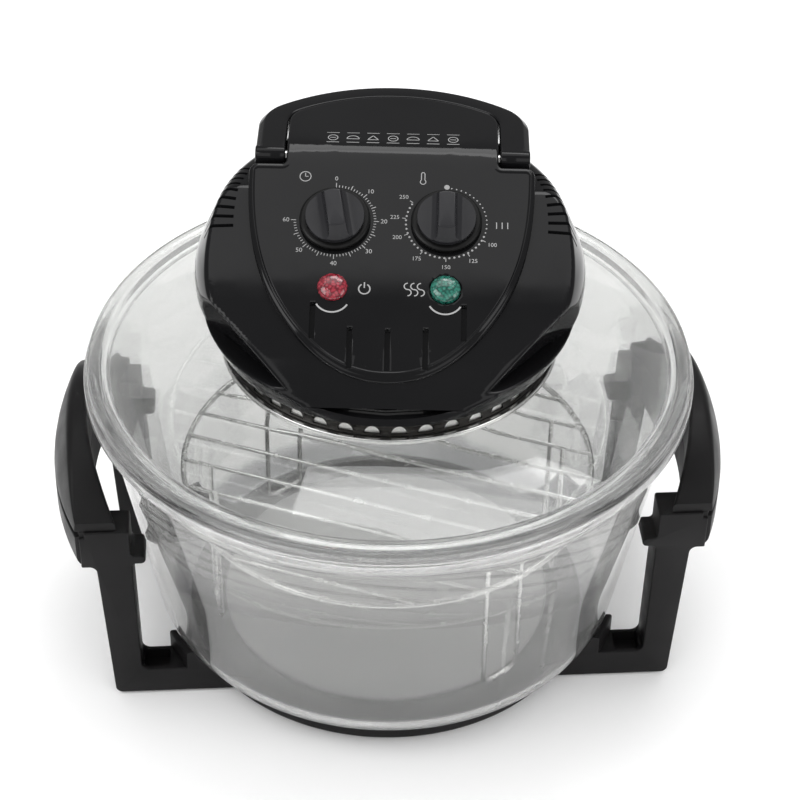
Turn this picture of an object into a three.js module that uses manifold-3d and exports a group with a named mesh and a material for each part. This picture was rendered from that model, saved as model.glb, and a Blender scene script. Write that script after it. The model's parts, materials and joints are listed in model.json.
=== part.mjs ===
// Halogen convection oven: a glass bowl in a moulded stand, with a domed glass lid that carries the heater head.
// Millimetres, +Z up, front faces -Y, origin on the bowl's axis where the feet meet the table.
import * as THREE from 'three';
import { mergeVertices } from 'three/addons/utils/BufferGeometryUtils.js';
import Module from 'manifold-3d';

const wasm = await Module();
wasm.setup();

const rad = THREE.MathUtils.degToRad;

// Clearances and facet counts
const gap = 0.3;
const overrun = 4;
const weld = 0.5;
const sliver = 0.1;
const roundFacets = 36;
const smallFacets = 14;
const holeFacets = 8;
const hiddenFacets = 28;
const wireFacets = 5;

// Driving dimensions of the glass bowl
const bowl = {
  floorZ: 9.8, floorRadius: 108, cornerRadius: 32, cornerFacets: 4, wall: 4.5,
  wallTopZ: 166, rimRadius: 172, rimFlare: 10, rimWidth: 10, rimBottomZ: 176, rimTopZ: 186, edgeRound: 2,
};

// Driving dimensions of the stand: a base ring, two bars, two side frames and two arched grips
const stand = {
  turn: rad(4.8),
  footHeight: 1.5,
  ringOuter: 121, ringInner: 96, ringHeight: 8,
  barFace: 75.5, barDepth: 19.5, barHeight: 18, barInset: 9,
  pocketWall: 2.6, pocketEndWall: 1.2, pocketDepth: 7,
  uprightFootWidth: 16, uprightHeadWidth: 20, uprightLean: 5,
  lugHeight: 32, lugThickness: 3.5,
  blockBottom: 101, blockTop: 127, blockChamfer: 5,
  gripDepth: 21, gripReach: 74, gripFacets: 12, gripArchShare: 2.6, gripScrewInset: 11,
  gripCrown: 160, gripEndTop: 133, gripShoulder: 10, gripBore: 3,
  pegLength: 8, pegHeight: 6, pegZ: 106,
  screwRadius: 2, screwHeadRadius: 3.8, screwHeadHeight: 2.4, screwLength: 24,
  footRadius: 6, footRecess: 1.2, footInset: 8,
};

// Driving dimensions of the wire rack
const rack = {
  turn: rad(-18), clearance: 28.1, topZ: 109, ringWire: 1.75, barWire: 1.2, barCount: 11, barPitchShare: 0.18,
  legWire: 1.5, legInset: 4, legShares: [0.36, 0.54], legBendShare: 0.2,
};

// Driving dimensions of the glass lid
const lid = {
  rimRadius: 170, rimThickness: 5.6, rimWidth: 10.5, rimRound: 1.8, spigot: 4, spigotWidth: 4, spigotGap: 1.5,
  thickness: 4.2, domeDip: 2.5, rise: 14, opening: 86, domeRings: 3,
};

// Driving dimensions of the steel work under the head
const heater = {
  clampOuter: 94.5, clampThickness: 3, clampRound: 1, collarDrop: 9, collarWall: 1.2,
  bandRadius: 91.5, bandWall: 1, bandHeight: 10.5, ventHoles: 40, ventRadius: 3.3, ventRiseShare: 1.25,
  guardSlots: 12, guardWall: 1, guardBar: 4, slotReachShare: 0.6, slotMiddleShare: 0.58,
  reflectorWall: 1, reflectorDip: 5, shaftClearance: 3,
  tubeRing: 58, tubeRadius: 5, tubeArc: rad(300), tubeClearance: 1,
  holderWidth: 13, holderDepth: 15, holderHeight: 15,
  shieldWall: 1.2, shieldRadius: 88,
};

// Driving dimensions of the head: a barrel-sided drum cut by the sloping console
const head = {
  lipHeight: 7, lipRadius: 97, lipTopRadius: 100.5, floorWall: 2.5, floorBore: 42,
  rise: 79, bellyRadius: 107, bellyDrop: 53, shoulderRadius: 103.7, shoulderDrop: 38,
  ledgeRadius: 94.5, ledgeDrop: 13, ledgeRound: 4,
  wall: 3, crease: 38, slope: rad(25.5), brow: -45, noseRadius: 116, bodyNoseRadius: 140, noseFacets: 8, fasciaDepth: 3,
  drumShares: [0, 0.25, 0.5, 0.75, 1], cavityShares: [0, 0.4, 0.8, 1],
  hoodHalfWidth: 58, hoodRearRadius: 94, hoodCorner: 14,
  shieldHalfWidth: 78, shieldTail: 82, shieldRearShare: 2.4, shieldSideShare: 2.2, shoulderY: 29, shieldSteps: 8,
  beadWidth: 2.2, beadHeight: 1.2,
  slotWidth: 3, slotPitch: 20, slotLength: 15, slotDepth: 2, slotShift: 1,
  louvreCount: 9, louvreTurn: rad(3.4), louvreStart: rad(-3), louvreWidth: 1.8, louvreInner: 85, louvreDrop: 19,
  cornerFacets: 4, hoodFacets: 10,
  wingAngle: rad(52), wingDepth: 94, wingTilt: rad(19), wingReach: 60, wingLedge: 7, slitLength: 44, slitHeight: 3.5,
  bossCircle: 83, bossRadius: 4.5, bossHeight: 22,
};

// Driving dimensions of what sits in the console
const controls = {
  spacing: 60, knobDown: 46, lampDown: 87, timerRest: rad(10),
  knobRadius: 19.2, knobLift: 0.6, knobRound: 1.5, knobBase: 5, knobBar: 9.5, knobBarHeight: 15,
  shaftRadius: 3, knobBore: 10,
  lensRadius: 8, lensDome: 3, lensRise: 0.8, lensSeat: 4, lensStepShare: 0.62, lampBody: 6.5, lampLength: 20,
  timerWidth: 36, timerDepth: 17, thermostatRadius: 15, thermostatDepth: 14,
};

// Driving dimensions of the folding carry handle
const handle = {
  outerHalfWidth: 75.5, outerRadius: 108.5, outerCorner: 24, width: 13, thickness: 11.5,
  pivotY: 40, pinRadius: 3, pinSeat: 4, chamfer: 2,
};

// Driving dimensions of the motor, the fans and the wiring parts
const motor = {
  stackWidth: 44, stackDepth: 38, stackHeight: 14, stackLift: 9, boreRadius: 12, rotorRadius: 11.2, poleWall: 6,
  legDepth: 9, coilWidth: 24, coilHeight: 22, coilWrap: 5, shaftRadius: 3, shaftTail: 4,
  bridgeWidth: 16, bridgeThickness: 2.5, postX: 46, postRadius: 3, bearingRadius: 6,
  coolingFanRadius: 38, coolingFanHeight: 6, ovenFanRadius: 44, ovenFanHeight: 8, bladeCount: 8, bladeWall: 1,
  hubRadius: 7, fanDisc: 1.2, fanClearance: 1,
};
const fittings = {
  switchWidth: 7, switchDepth: 13, switchHeight: 11, switchReach: 12, plungerRadius: 1.6, plungerLength: 10,
  cutoutRadius: 7, cutoutHeight: 5, blockWidth: 30, blockDepth: 12, blockHeight: 12,
  inletRadius: 7, inletBore: 3.8, inletLength: 12, inletFlange: 10, inletFlangeWall: 2.5,
  screwRadius: 1.8, screwHead: 3.2, screwHeadHeight: 2, screwLength: 13,
};

// Materials, one for each finish
const finish = (color, roughness, metalness, extra = {}) =>
  new THREE.MeshStandardMaterial({ color, roughness, metalness, ...extra });
const glass = finish(0xdfe7e4, 0.04, 0, { transparent: true, opacity: 0.35 });
const glossBlack = finish(0x17171a, 0.16, 0);
const satinBlack = finish(0x242426, 0.45, 0);
const steel = finish(0xb9babb, 0.24, 1);
const darkSteel = finish(0x5b5a58, 0.35, 1);
const rubber = finish(0x1b1b1b, 0.85, 0);
const redLens = finish(0xa01826, 0.12, 0);
const greenLens = finish(0x14735c, 0.12, 0);
const quartz = finish(0xe6dccb, 0.1, 0);
const ceramic = finish(0xe9e4d8, 0.7, 0);
const copper = finish(0xa7562c, 0.4, 1);
const whitePlastic = finish(0xd8d6cf, 0.5, 0);

const part = new THREE.Group();

// A closed solid from any geometry: shared corners are merged and faces that point in are turned out
function solidOf(geometry) {
  const bare = geometry.clone();
  bare.deleteAttribute('normal');
  bare.deleteAttribute('uv');
  const merged = mergeVertices(bare, 0.0005);
  const place = merged.attributes.position;
  const corners = [];
  let volume = 0;
  const a = new THREE.Vector3();
  const b = new THREE.Vector3();
  const c = new THREE.Vector3();
  for (let i = 0; i < merged.index.count; i += 3) {
    const [p, q, r] = [0, 1, 2].map((k) => merged.index.getX(i + k));
    if (p === q || q === r || r === p) continue;
    corners.push([p, q, r]);
    a.fromBufferAttribute(place, p);
    b.fromBufferAttribute(place, q);
    c.fromBufferAttribute(place, r);
    volume += a.dot(b.cross(c));
  }
  if (volume < 0) corners.forEach((corner) => corner.reverse());
  return new wasm.Manifold(new wasm.Mesh({
    numProp: 3,
    vertProperties: new Float32Array(place.array),
    triVerts: new Uint32Array(corners.flat()),
  }));
}

function geometryOf(solid) {
  const mesh = solid.simplify(sliver).getMesh();
  const geometry = new THREE.BufferGeometry();
  geometry.setAttribute('position', new THREE.BufferAttribute(new Float32Array(mesh.vertProperties), 3));
  geometry.setIndex(new THREE.BufferAttribute(new Uint32Array(mesh.triVerts), 1));
  geometry.computeVertexNormals();
  return geometry;
}

const join = (...solids) => solids.reduce((whole, solid) => whole.add(solid));
const cut = (solid, ...cutters) => cutters.reduce((rest, cutter) => rest.subtract(cutter), solid);

function addPiece(name, solid, material, parent = part) {
  const mesh = new THREE.Mesh(geometryOf(solid), material);
  mesh.name = name;
  parent.add(mesh);
  return mesh;
}

// Basic forms, as solids
const moved = (geometry, x, y, z) => geometry.translate(x, y, z);

function block(x0, x1, y0, y1, z0, z1) {
  const box = new THREE.BoxGeometry(x1 - x0, y1 - y0, z1 - z0);
  return solidOf(moved(box, (x0 + x1) / 2, (y0 + y1) / 2, (z0 + z1) / 2));
}

function post(radius, z0, z1, x = 0, y = 0, facets = smallFacets, topRadius = radius) {
  const cylinder = new THREE.CylinderGeometry(topRadius, radius, z1 - z0, facets).rotateX(Math.PI / 2);
  return solidOf(moved(cylinder, x, y, (z0 + z1) / 2));
}

function rodX(radius, x0, x1, y, z, facets = smallFacets) {
  const cylinder = new THREE.CylinderGeometry(radius, radius, x1 - x0, facets).rotateZ(Math.PI / 2);
  return solidOf(moved(cylinder, (x0 + x1) / 2, y, z));
}

// Revolved form from a closed list of [radius, height] pairs
function revolved(outline, facets = roundFacets) {
  const points = [...outline, outline[0]].map(([r, z]) => new THREE.Vector2(Math.max(r, 0), z));
  return solidOf(new THREE.LatheGeometry(points, facets).rotateX(Math.PI / 2));
}

// A flat outline raised along Z
function raised(outline, z0, z1, curveSegments = 8) {
  const shape = outline instanceof THREE.Shape ? outline : new THREE.Shape(outline.map(([x, y]) => new THREE.Vector2(x, y)));
  const body = new THREE.ExtrudeGeometry(shape, { depth: z1 - z0, bevelEnabled: false, curveSegments });
  return solidOf(moved(body, 0, 0, z0));
}

// A side view outline of [y, z] pairs, drawn out along X
function drawnX(outline, x0, x1) {
  const shape = new THREE.Shape(outline.map(([y, z]) => new THREE.Vector2(y, z)));
  const body = new THREE.ExtrudeGeometry(shape, { depth: x1 - x0, bevelEnabled: false });
  body.rotateY(Math.PI / 2).rotateX(Math.PI / 2);
  return solidOf(moved(body, x0, 0, 0));
}

// A front view outline of [x, z] pairs, drawn out along Y
function drawnY(outline, y0, y1) {
  const shape = new THREE.Shape(outline.map(([x, z]) => new THREE.Vector2(x, z)));
  const body = new THREE.ExtrudeGeometry(shape, { depth: y1 - y0, bevelEnabled: false }).rotateX(Math.PI / 2);
  return solidOf(moved(body, 0, y1, 0));
}

// A round wire along a curve, with closed ends
function wire(curve, radius, steps, facets = wireFacets) {
  const section = new THREE.Shape();
  for (let i = 0; i < facets; i += 1) {
    const angle = (i / facets) * 2 * Math.PI;
    const spot = [radius * Math.cos(angle), radius * Math.sin(angle)];
    if (i === 0) section.moveTo(...spot);
    else section.lineTo(...spot);
  }
  return solidOf(new THREE.ExtrudeGeometry(section, { steps, bevelEnabled: false, extrudePath: curve }));
}

// A wire bent at its corners, each corner cut on the slant
function bentWire(corners, radius, facets = wireFacets) {
  const spots = corners.map((corner) => new THREE.Vector3(...corner));
  const ways = spots.slice(1).map((spot, i) => spot.clone().sub(spots[i]).normalize());
  const across = new THREE.Vector3(-ways[0].z, ways[0].x, ways[0].y).cross(ways[0]).normalize();
  const up = ways[0].clone().cross(across);
  let ring = Array.from({ length: facets }, (_, i) => {
    const angle = (i / facets) * 2 * Math.PI;
    return spots[0].clone().addScaledVector(across, radius * Math.cos(angle)).addScaledVector(up, radius * Math.sin(angle));
  });
  const places = [...ring];
  ways.forEach((way, i) => {
    const facing = ways[i + 1] ? way.clone().add(ways[i + 1]) : way;
    const end = spots[i + 1];
    ring = ring.map((spot) => spot.clone().addScaledVector(way, end.clone().sub(spot).dot(facing) / way.dot(facing)));
    places.push(...ring);
  });
  const index = [];
  for (let row = 0; row < ways.length; row += 1) {
    for (let i = 0; i < facets; i += 1) {
      const [a, b] = [row * facets + i, row * facets + ((i + 1) % facets)];
      index.push(a, b, a + facets, b, b + facets, a + facets);
    }
  }
  const last = ways.length * facets;
  for (let i = 1; i < facets - 1; i += 1) {
    index.push(0, i + 1, i, last, last + i, last + i + 1);
  }
  const geometry = new THREE.BufferGeometry().setFromPoints(places);
  geometry.setIndex(index);
  return solidOf(geometry);
}

const straight = (from, to) => new THREE.LineCurve3(new THREE.Vector3(...from), new THREE.Vector3(...to));
const arc = (r, from, to, count) => Array.from({ length: count + 1 }, (_, i) => from + ((to - from) * i) / count)
  .map((angle) => [r * Math.cos(angle), r * Math.sin(angle)]);
const shift = (points, x, y) => points.map(([px, py]) => [px + x, py + y]);
const inFlats = (r, facets = roundFacets) => r * Math.cos(Math.PI / facets);
const bothSides = (make) => [-1, 1].forEach(make);
const sideName = (side) => (side < 0 ? 'left' : 'right');

// The wall runs straight from the rounded corner, which it leaves at a tangent, to the flare under the rim
const wallTopRadius = bowl.rimRadius - bowl.rimFlare;
const rimInnerRadius = bowl.rimRadius - bowl.rimWidth;
const cornerZ = bowl.floorZ + bowl.cornerRadius;
const wallRun = [wallTopRadius - bowl.floorRadius, bowl.wallTopZ - cornerZ];
const wallLean = Math.acos(bowl.cornerRadius / Math.hypot(...wallRun)) - Math.atan2(wallRun[1], wallRun[0]);
const bowlFootRadius = bowl.floorRadius + bowl.cornerRadius * Math.cos(wallLean);
const bowlFootZ = cornerZ - bowl.cornerRadius * Math.sin(wallLean);

// Glass bowl: flat floor, rounded corner, tapering wall and a thick flanged rim
const bowlCorner = (inset) => {
  const corner = arc(bowl.cornerRadius - inset, -Math.PI / 2, -wallLean, bowl.cornerFacets);
  return shift(corner, bowl.floorRadius, cornerZ);
};
const bowlWallAt = (z) => {
  const share = (z - bowlFootZ) / (bowl.wallTopZ - bowlFootZ);
  return bowlFootRadius + (wallTopRadius - bowlFootRadius) * share;
};
const bowlOutline = [
  [0, bowl.floorZ],
  ...bowlCorner(0),
  [wallTopRadius, bowl.wallTopZ],
  [bowl.rimRadius - bowl.edgeRound * 2, bowl.rimBottomZ],
  [bowl.rimRadius, bowl.rimBottomZ + bowl.edgeRound],
  [bowl.rimRadius, bowl.rimTopZ - bowl.edgeRound],
  [bowl.rimRadius - bowl.edgeRound, bowl.rimTopZ],
  [rimInnerRadius + bowl.edgeRound, bowl.rimTopZ],
  [rimInnerRadius, bowl.rimTopZ - bowl.edgeRound],
  [rimInnerRadius, bowl.rimBottomZ + bowl.edgeRound],
  [wallTopRadius - bowl.wall, bowl.wallTopZ],
  ...bowlCorner(bowl.wall).reverse(),
  [0, bowl.floorZ + bowl.wall],
];
addPiece('glass_bowl', revolved(bowlOutline), glass);

// The stand is built square and turned a little against the head
const standGroup = new THREE.Group();
standGroup.rotation.z = stand.turn;
part.add(standGroup);

const standFloor = stand.footHeight;
const barHalfLength = bowl.rimRadius - stand.barInset;
const gripInner = bowl.rimRadius;
const gripOuter = gripInner + stand.gripDepth;
const barBack = stand.barFace - stand.barDepth;
// The room left for the bowl is spread so that its flats clear the bowl's corners at any turn
const facetSpread = 1 / Math.cos(Math.PI / roundFacets);
const bowlRoom = revolved([
  [0, bowl.floorZ - gap],
  ...bowlCorner(-gap),
  [wallTopRadius + gap * 2, bowl.wallTopZ],
  [0, bowl.wallTopZ],
]).scale([facetSpread, facetSpread, 1]);

function standRing() {
  const top = standFloor + stand.ringHeight;
  return revolved([
    [stand.ringInner, standFloor], [stand.ringOuter - stand.footHeight, standFloor],
    [stand.ringOuter, standFloor + stand.footHeight], [stand.ringOuter, top], [stand.ringInner, top],
  ]);
}

// Front and rear bars of the base: each has a lug that holds the bowl and an open pocket at both ends
const barTop = standFloor + stand.barHeight;
const uprightInner = barHalfLength - stand.uprightFootWidth;
const uprightHead = barHalfLength + stand.uprightLean;
const barStart = (front) => (front < 0 ? -stand.barFace : barBack);

function standBar(front) {
  const y0 = barStart(front);
  const y1 = y0 + stand.barDepth;
  const half = uprightInner - gap;
  const ringHole = post((stand.ringInner + stand.ringOuter) / 2, -overrun, barTop + overrun, 0, 0, hiddenFacets);
  const bar = cut(block(-half, half, y0, y1, standFloor, barTop), ringHole, bowlRoom);
  const lugOuter = bowlWallAt(stand.lugHeight) + stand.lugThickness;
  const lug = cut(revolved([
    [stand.ringOuter - stand.lugThickness, barTop - stand.pocketWall], [lugOuter, barTop - stand.pocketWall],
    [lugOuter, stand.lugHeight], [stand.ringOuter - stand.lugThickness, stand.lugHeight],
  ]), bowlRoom).intersect(block(-half, half, y0, y1, 0, stand.lugHeight + overrun));
  const pockets = [];
  bothSides((side) => {
    const pocketFrom = Math.sqrt(lugOuter ** 2 - barBack ** 2) + gap;
    const x = [side * (half - stand.pocketEndWall), side * pocketFrom].sort((a, b) => a - b);
    pockets.push(block(...x, y0 + stand.pocketWall, y1 - stand.pocketWall, barTop - stand.pocketDepth, barTop + overrun));
  });
  return cut(join(bar, lug), ...pockets);
}

// Uprights at each side, with a peg that points in at the bowl
function uprights(side) {
  return [-1, 1].map((front) => {
    const y0 = barStart(front);
    const y1 = y0 + stand.barDepth;
    const top = stand.blockBottom + weld;
    const upright = drawnY([
      [side * barHalfLength, standFloor], [side * uprightHead, top],
      [side * (uprightHead - stand.uprightHeadWidth), top], [side * uprightInner, barTop], [side * uprightInner, standFloor],
    ], y0, y1);
    const pegFrom = uprightHead - stand.uprightHeadWidth;
    const x = [side * (pegFrom - stand.pegLength), side * (pegFrom + weld)].sort((a, b) => a - b);
    const peg = block(...x, y0, y1, stand.pegZ - stand.pegHeight / 2, stand.pegZ + stand.pegHeight / 2);
    return join(upright, peg);
  });
}

// Grip blocks run round the bowl between the front and the rear uprights
function gripBlock(side) {
  const chamfered = revolved([
    [gripInner, stand.blockBottom], [gripOuter - stand.blockChamfer, stand.blockBottom],
    [gripOuter, stand.blockBottom + stand.blockChamfer], [gripOuter, stand.blockTop],
    [gripInner, stand.blockTop],
  ], hiddenFacets * 2);
  const reach = stand.gripReach;
  const outward = side < 0 ? [-gripOuter - overrun, 0] : [0, gripOuter + overrun];
  const band = chamfered.intersect(block(...outward, -reach, reach, 0, stand.blockTop + overrun));
  const shelfFrom = uprightHead - stand.uprightHeadWidth;
  const shelfX = [side * shelfFrom, side * (gripInner + stand.lugThickness)].sort((a, b) => a - b);
  const shelves = [[-reach, -barBack], [barBack, reach]]
    .map(([y0, y1]) => block(...shelfX, y0, y1, stand.blockBottom, stand.blockTop));
  return join(band, ...shelves);
}

const gripScrewSpots = [];
bothSides((side) => bothSides((end) => {
  const radius = (gripInner + gripOuter) / 2;
  const y = stand.gripReach - stand.gripScrewInset;
  gripScrewSpots.push([side * Math.sqrt(radius ** 2 - y ** 2), end * y, sideName(side), end < 0 ? 1 : 2]);
}));

const footSpots = [];
bothSides((side) => bothSides((end) => {
  footSpots.push([side * (barHalfLength - stand.footInset), end * (stand.barFace - stand.barDepth / 2)]);
}));

const screwWell = stand.blockBottom + stand.screwHeadHeight + gap;
addPiece('stand_base', join(standRing(), standBar(-1), standBar(1)), satinBlack, standGroup);
bothSides((side) => {
  const frame = cut(
    join(...uprights(side), gripBlock(side)),
    bowlRoom,
    ...gripScrewSpots.map(([x, y]) => post(stand.screwRadius + gap, stand.blockBottom - overrun, stand.blockTop + overrun, x, y)),
    ...gripScrewSpots.map(([x, y]) => post(stand.screwHeadRadius + gap, stand.blockBottom - overrun, screwWell, x, y)),
    ...footSpots.map(([x, y]) => post(stand.footRadius + gap, -overrun, standFloor + stand.footRecess, x, y)),
  );
  addPiece(`side_frame_${sideName(side)}`, frame, satinBlack, standGroup);
});

// Each grip cap is an arch: high in the middle, low at its rounded ends, with a sloping outer shoulder
bothSides((side) => {
  const z0 = stand.blockTop + gap;
  const ring = revolved([
    [gripInner, z0], [gripOuter, z0], [gripOuter - gap, stand.gripEndTop],
    [gripOuter - stand.gripShoulder, stand.gripCrown], [gripInner, stand.gripCrown],
  ], hiddenFacets * 2);
  const reach = stand.gripReach;
  const rise = stand.gripCrown - stand.gripEndTop;
  const crown = Array.from({ length: stand.gripFacets + 1 }, (_, i) => -1 + (2 * i) / stand.gripFacets)
    .map((share) => [share * reach, stand.gripEndTop + rise * (1 - Math.abs(share) ** stand.gripArchShare)]);
  const outward = side < 0 ? [-gripOuter - overrun, 0] : [0, gripOuter + overrun];
  const arch = drawnX([[-reach, z0 - overrun], ...crown, [reach, z0 - overrun]], ...outward);
  const wells = gripScrewSpots.map(([x, y]) => post(stand.screwRadius + gap, z0 - overrun,
    stand.blockBottom + stand.screwHeadHeight + gap * 3 + stand.screwLength + stand.gripBore, x, y));
  addPiece(`grip_${sideName(side)}`, cut(ring.intersect(arch), ...wells), satinBlack, standGroup);
});

gripScrewSpots.forEach(([x, y, side, number]) => {
  const seat = stand.blockBottom + gap;
  const z0 = seat + stand.screwHeadHeight;
  const shank = post(stand.screwRadius, z0 - weld, z0 + stand.screwLength + stand.gripBore, x, y, smallFacets / 2);
  const screw = join(post(stand.screwHeadRadius, seat - gap, z0 - gap, x, y, smallFacets / 2), shank);
  addPiece(`grip_screw_${side}_${number}`, screw, steel, standGroup);
});

footSpots.forEach(([x, y], i) => {
  addPiece(`rubber_foot_${i + 1}`, post(stand.footRadius, 0, standFloor + stand.footRecess - gap, x, y), rubber, standGroup);
});

// Wire rack: a ring, parallel bars over it and four bent legs that stand on the bowl's floor
const rackRadius = bowlWallAt(rack.topZ) - bowl.wall - rack.clearance;
const legRadius = bowl.floorRadius - rack.legInset;
function rackSolid() {
  const floorTop = bowl.floorZ + bowl.wall;
  const footZ = floorTop + gap + rack.legWire;
  const barZ = rack.topZ + rack.ringWire;
  const ring = new THREE.TorusGeometry(rackRadius, rack.ringWire, wireFacets, roundFacets);
  const solids = [solidOf(moved(ring, 0, 0, rack.topZ))];
  const last = (rack.barCount - 1) / 2;
  for (let i = -last; i <= last; i += 1) {
    const y = i * rackRadius * rack.barPitchShare;
    const half = Math.sqrt(rackRadius ** 2 - y ** 2);
    solids.push(wire(straight([-half, y, barZ], [half, y, barZ]), rack.barWire, 1));
  }
  bothSides((side) => bothSides((end) => {
    const spots = rack.legShares.map((share) => {
      const y = side * share * rackRadius;
      return [end * Math.sqrt(legRadius ** 2 - y ** 2), y];
    });
    const [[x0, y0], [x1, y1]] = spots;
    const bend = rack.legBendShare;
    const middle = [(x0 + x1) / 2, (y0 + y1) / 2];
    const towards = (x, y) => [x + (middle[0] - x) * bend, y + (middle[1] - y) * bend];
    const low = footZ + rack.legWire * 2;
    solids.push(bentWire([[x0, y0, barZ], [x0, y0, low], [...towards(x0, y0), footZ], [...towards(x1, y1), footZ],
      [x1, y1, low], [x1, y1, barZ]], rack.legWire));
  }));
  return join(...solids);
}
addPiece('wire_rack', rackSolid(), steel).rotation.z = rack.turn;

// Glass lid: a shallow dome with a thick rim, a spigot that drops into the bowl and a round opening
const lidBottom = bowl.rimTopZ + gap;
const lidTopZ = lidBottom + lid.rimThickness;
const domeRadius = lid.rimRadius - lid.rimWidth;
const domeFoot = lidTopZ - lid.domeDip;
const domeZ = (r) => domeFoot + lid.rise * (1 - (r / domeRadius) ** 2);
const domeStops = Array.from({ length: lid.domeRings + 1 }, (_, i) => lid.opening
  + ((domeRadius - lid.opening) * i) / lid.domeRings);
const spigotOuter = rimInnerRadius - lid.spigotGap;
addPiece('glass_lid', revolved([
  [lid.rimRadius - lid.rimRound / 2, lidBottom], [lid.rimRadius, lidBottom + lid.rimRound / 2],
  [lid.rimRadius, lidTopZ - lid.rimRound], [lid.rimRadius - lid.rimRound, lidTopZ],
  [domeRadius + lid.rimRound, lidTopZ],
  ...domeStops.slice().reverse().map((r) => [r, domeZ(r)]),
  ...domeStops.slice(0, -1).map((r) => [r, domeZ(r) - lid.thickness]),
  [spigotOuter - lid.spigotWidth, lidBottom - lid.spigot], [spigotOuter, lidBottom - lid.spigot],
  [spigotOuter, lidBottom],
]), glass);

// Steel clamp ring: it lies on the glass round the opening and its collar goes down through it
const clampZ = domeZ(lid.opening) + gap;
const clampTop = clampZ + heater.clampThickness;
const collarOuter = lid.opening - gap;
const collarInner = collarOuter - heater.collarWall;
const collarBottom = clampZ - heater.collarDrop;
addPiece('clamp_ring', revolved([
  [collarInner, collarBottom], [collarOuter, collarBottom], [collarOuter, clampZ], [heater.clampOuter, clampZ],
  [heater.clampOuter, clampTop - heater.clampRound], [heater.clampOuter - heater.clampRound, clampTop],
  [collarInner, clampTop],
]), steel);

// Vent band: a thin steel wall with a row of round holes
const bandZ = clampTop + gap;
const bandTop = bandZ + heater.bandHeight;
const bandInner = heater.bandRadius - heater.bandWall;
const ventCutters = Array.from({ length: heater.ventHoles / 2 }, (_, i) => {
  const hole = new THREE.CylinderGeometry(heater.ventRadius, heater.ventRadius, heater.bandRadius * 2 + overrun, wireFacets);
  hole.rotateZ(Math.PI / 2).rotateZ(((i + 1 / 2) * 2 * Math.PI) / heater.ventHoles);
  return solidOf(moved(hole, 0, 0, bandZ + heater.ventRadius * heater.ventRiseShare));
});
addPiece('vent_band', cut(revolved([
  [bandInner, bandZ], [heater.bandRadius, bandZ], [heater.bandRadius, bandTop], [bandInner, bandTop],
], heater.ventHoles), ...ventCutters), darkSteel);

// Guard plate with radial slots, across the bottom of the collar
const guardRadius = inFlats(collarInner) - gap;
const guardZ = collarBottom + gap;
const guardTop = guardZ + heater.guardWall;
const guardSlots = Array.from({ length: heater.guardSlots }, (_, i) => {
  const slot = new THREE.BoxGeometry(guardRadius * heater.slotReachShare, heater.guardBar * 2, heater.guardWall * 2 + overrun);
  moved(slot, guardRadius * heater.slotMiddleShare, 0, guardZ);
  return solidOf(slot.rotateZ((i * 2 * Math.PI) / heater.guardSlots));
});
addPiece('lower_guard', cut(post(guardRadius, guardZ, guardTop, 0, 0, hiddenFacets), ...guardSlots), steel);

// Reflector: a shallow pan that rests on the clamp ring and faces down over the halogen tube
const panTop = bandZ + heater.reflectorWall + heater.reflectorDip;
const panEdge = inFlats(bandInner, heater.ventHoles) - gap;
const panFoot = guardRadius - heater.reflectorDip;
const shaftRoom = motor.shaftRadius + heater.shaftClearance;
addPiece('reflector', revolved([
  [panFoot, bandZ], [panEdge, bandZ], [panEdge, bandZ + heater.reflectorWall],
  [panFoot + heater.reflectorWall, bandZ + heater.reflectorWall], [panFoot - heater.reflectorDip, panTop],
  [shaftRoom, panTop], [shaftRoom, panTop - heater.reflectorWall],
  [panFoot - heater.reflectorDip - heater.reflectorWall, panTop - heater.reflectorWall],
], hiddenFacets), steel);

// Halogen tube: an open ring of quartz tube between two ceramic holders
class RingArc extends THREE.Curve {
  constructor(radius, height, from, to) {
    super();
    Object.assign(this, { radius, height, from, to });
  }

  getPoint(t, target = new THREE.Vector3()) {
    const angle = this.from + (this.to - this.from) * t;
    return target.set(this.radius * Math.cos(angle), this.radius * Math.sin(angle), this.height);
  }
}
const tubeZ = guardTop + heater.tubeRadius + heater.tubeClearance;
const openHalf = (2 * Math.PI - heater.tubeArc) / 2;
addPiece('halogen_tube', wire(
  new RingArc(heater.tubeRing, tubeZ, Math.PI / 2 + openHalf, Math.PI / 2 + openHalf + heater.tubeArc),
  heater.tubeRadius, smallFacets, wireFacets + 1,
), quartz);
const holderTop = panTop - heater.reflectorWall - gap;
bothSides((side) => {
  const holder = block(-heater.holderWidth, -gap, -heater.holderDepth / 2, heater.holderDepth / 2,
    holderTop - heater.holderHeight, holderTop);
  const piece = addPiece(`tube_holder_${sideName(side)}`, side < 0 ? holder : holder.mirror([1, 0, 0]), ceramic);
  const angle = Math.PI / 2 - side * openHalf;
  piece.position.set(heater.tubeRing * Math.cos(angle), heater.tubeRing * Math.sin(angle), 0);
  piece.rotation.z = side < 0 ? openHalf + Math.PI : Math.PI - openHalf;
});

// Levels of the head: its base, the lip that shows over the vent band and the cover above it
const baseZ = bandTop + gap;
const lipTop = baseZ + head.lipHeight;
const floorTop = baseZ + head.floorWall;
const coverZ = lipTop + gap;
const headTop = coverZ + head.rise;
const ledgeZ = headTop - head.ledgeDrop;
const shoulderZ = headTop - head.shoulderDrop;
const bellyZ = headTop - head.bellyDrop;
const bossAngles = [1, 3, 5, 7].map((n) => (n * Math.PI) / 4);
const bossSpots = bossAngles.map((angle) => [head.bossCircle * Math.cos(angle), head.bossCircle * Math.sin(angle)]);

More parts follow.
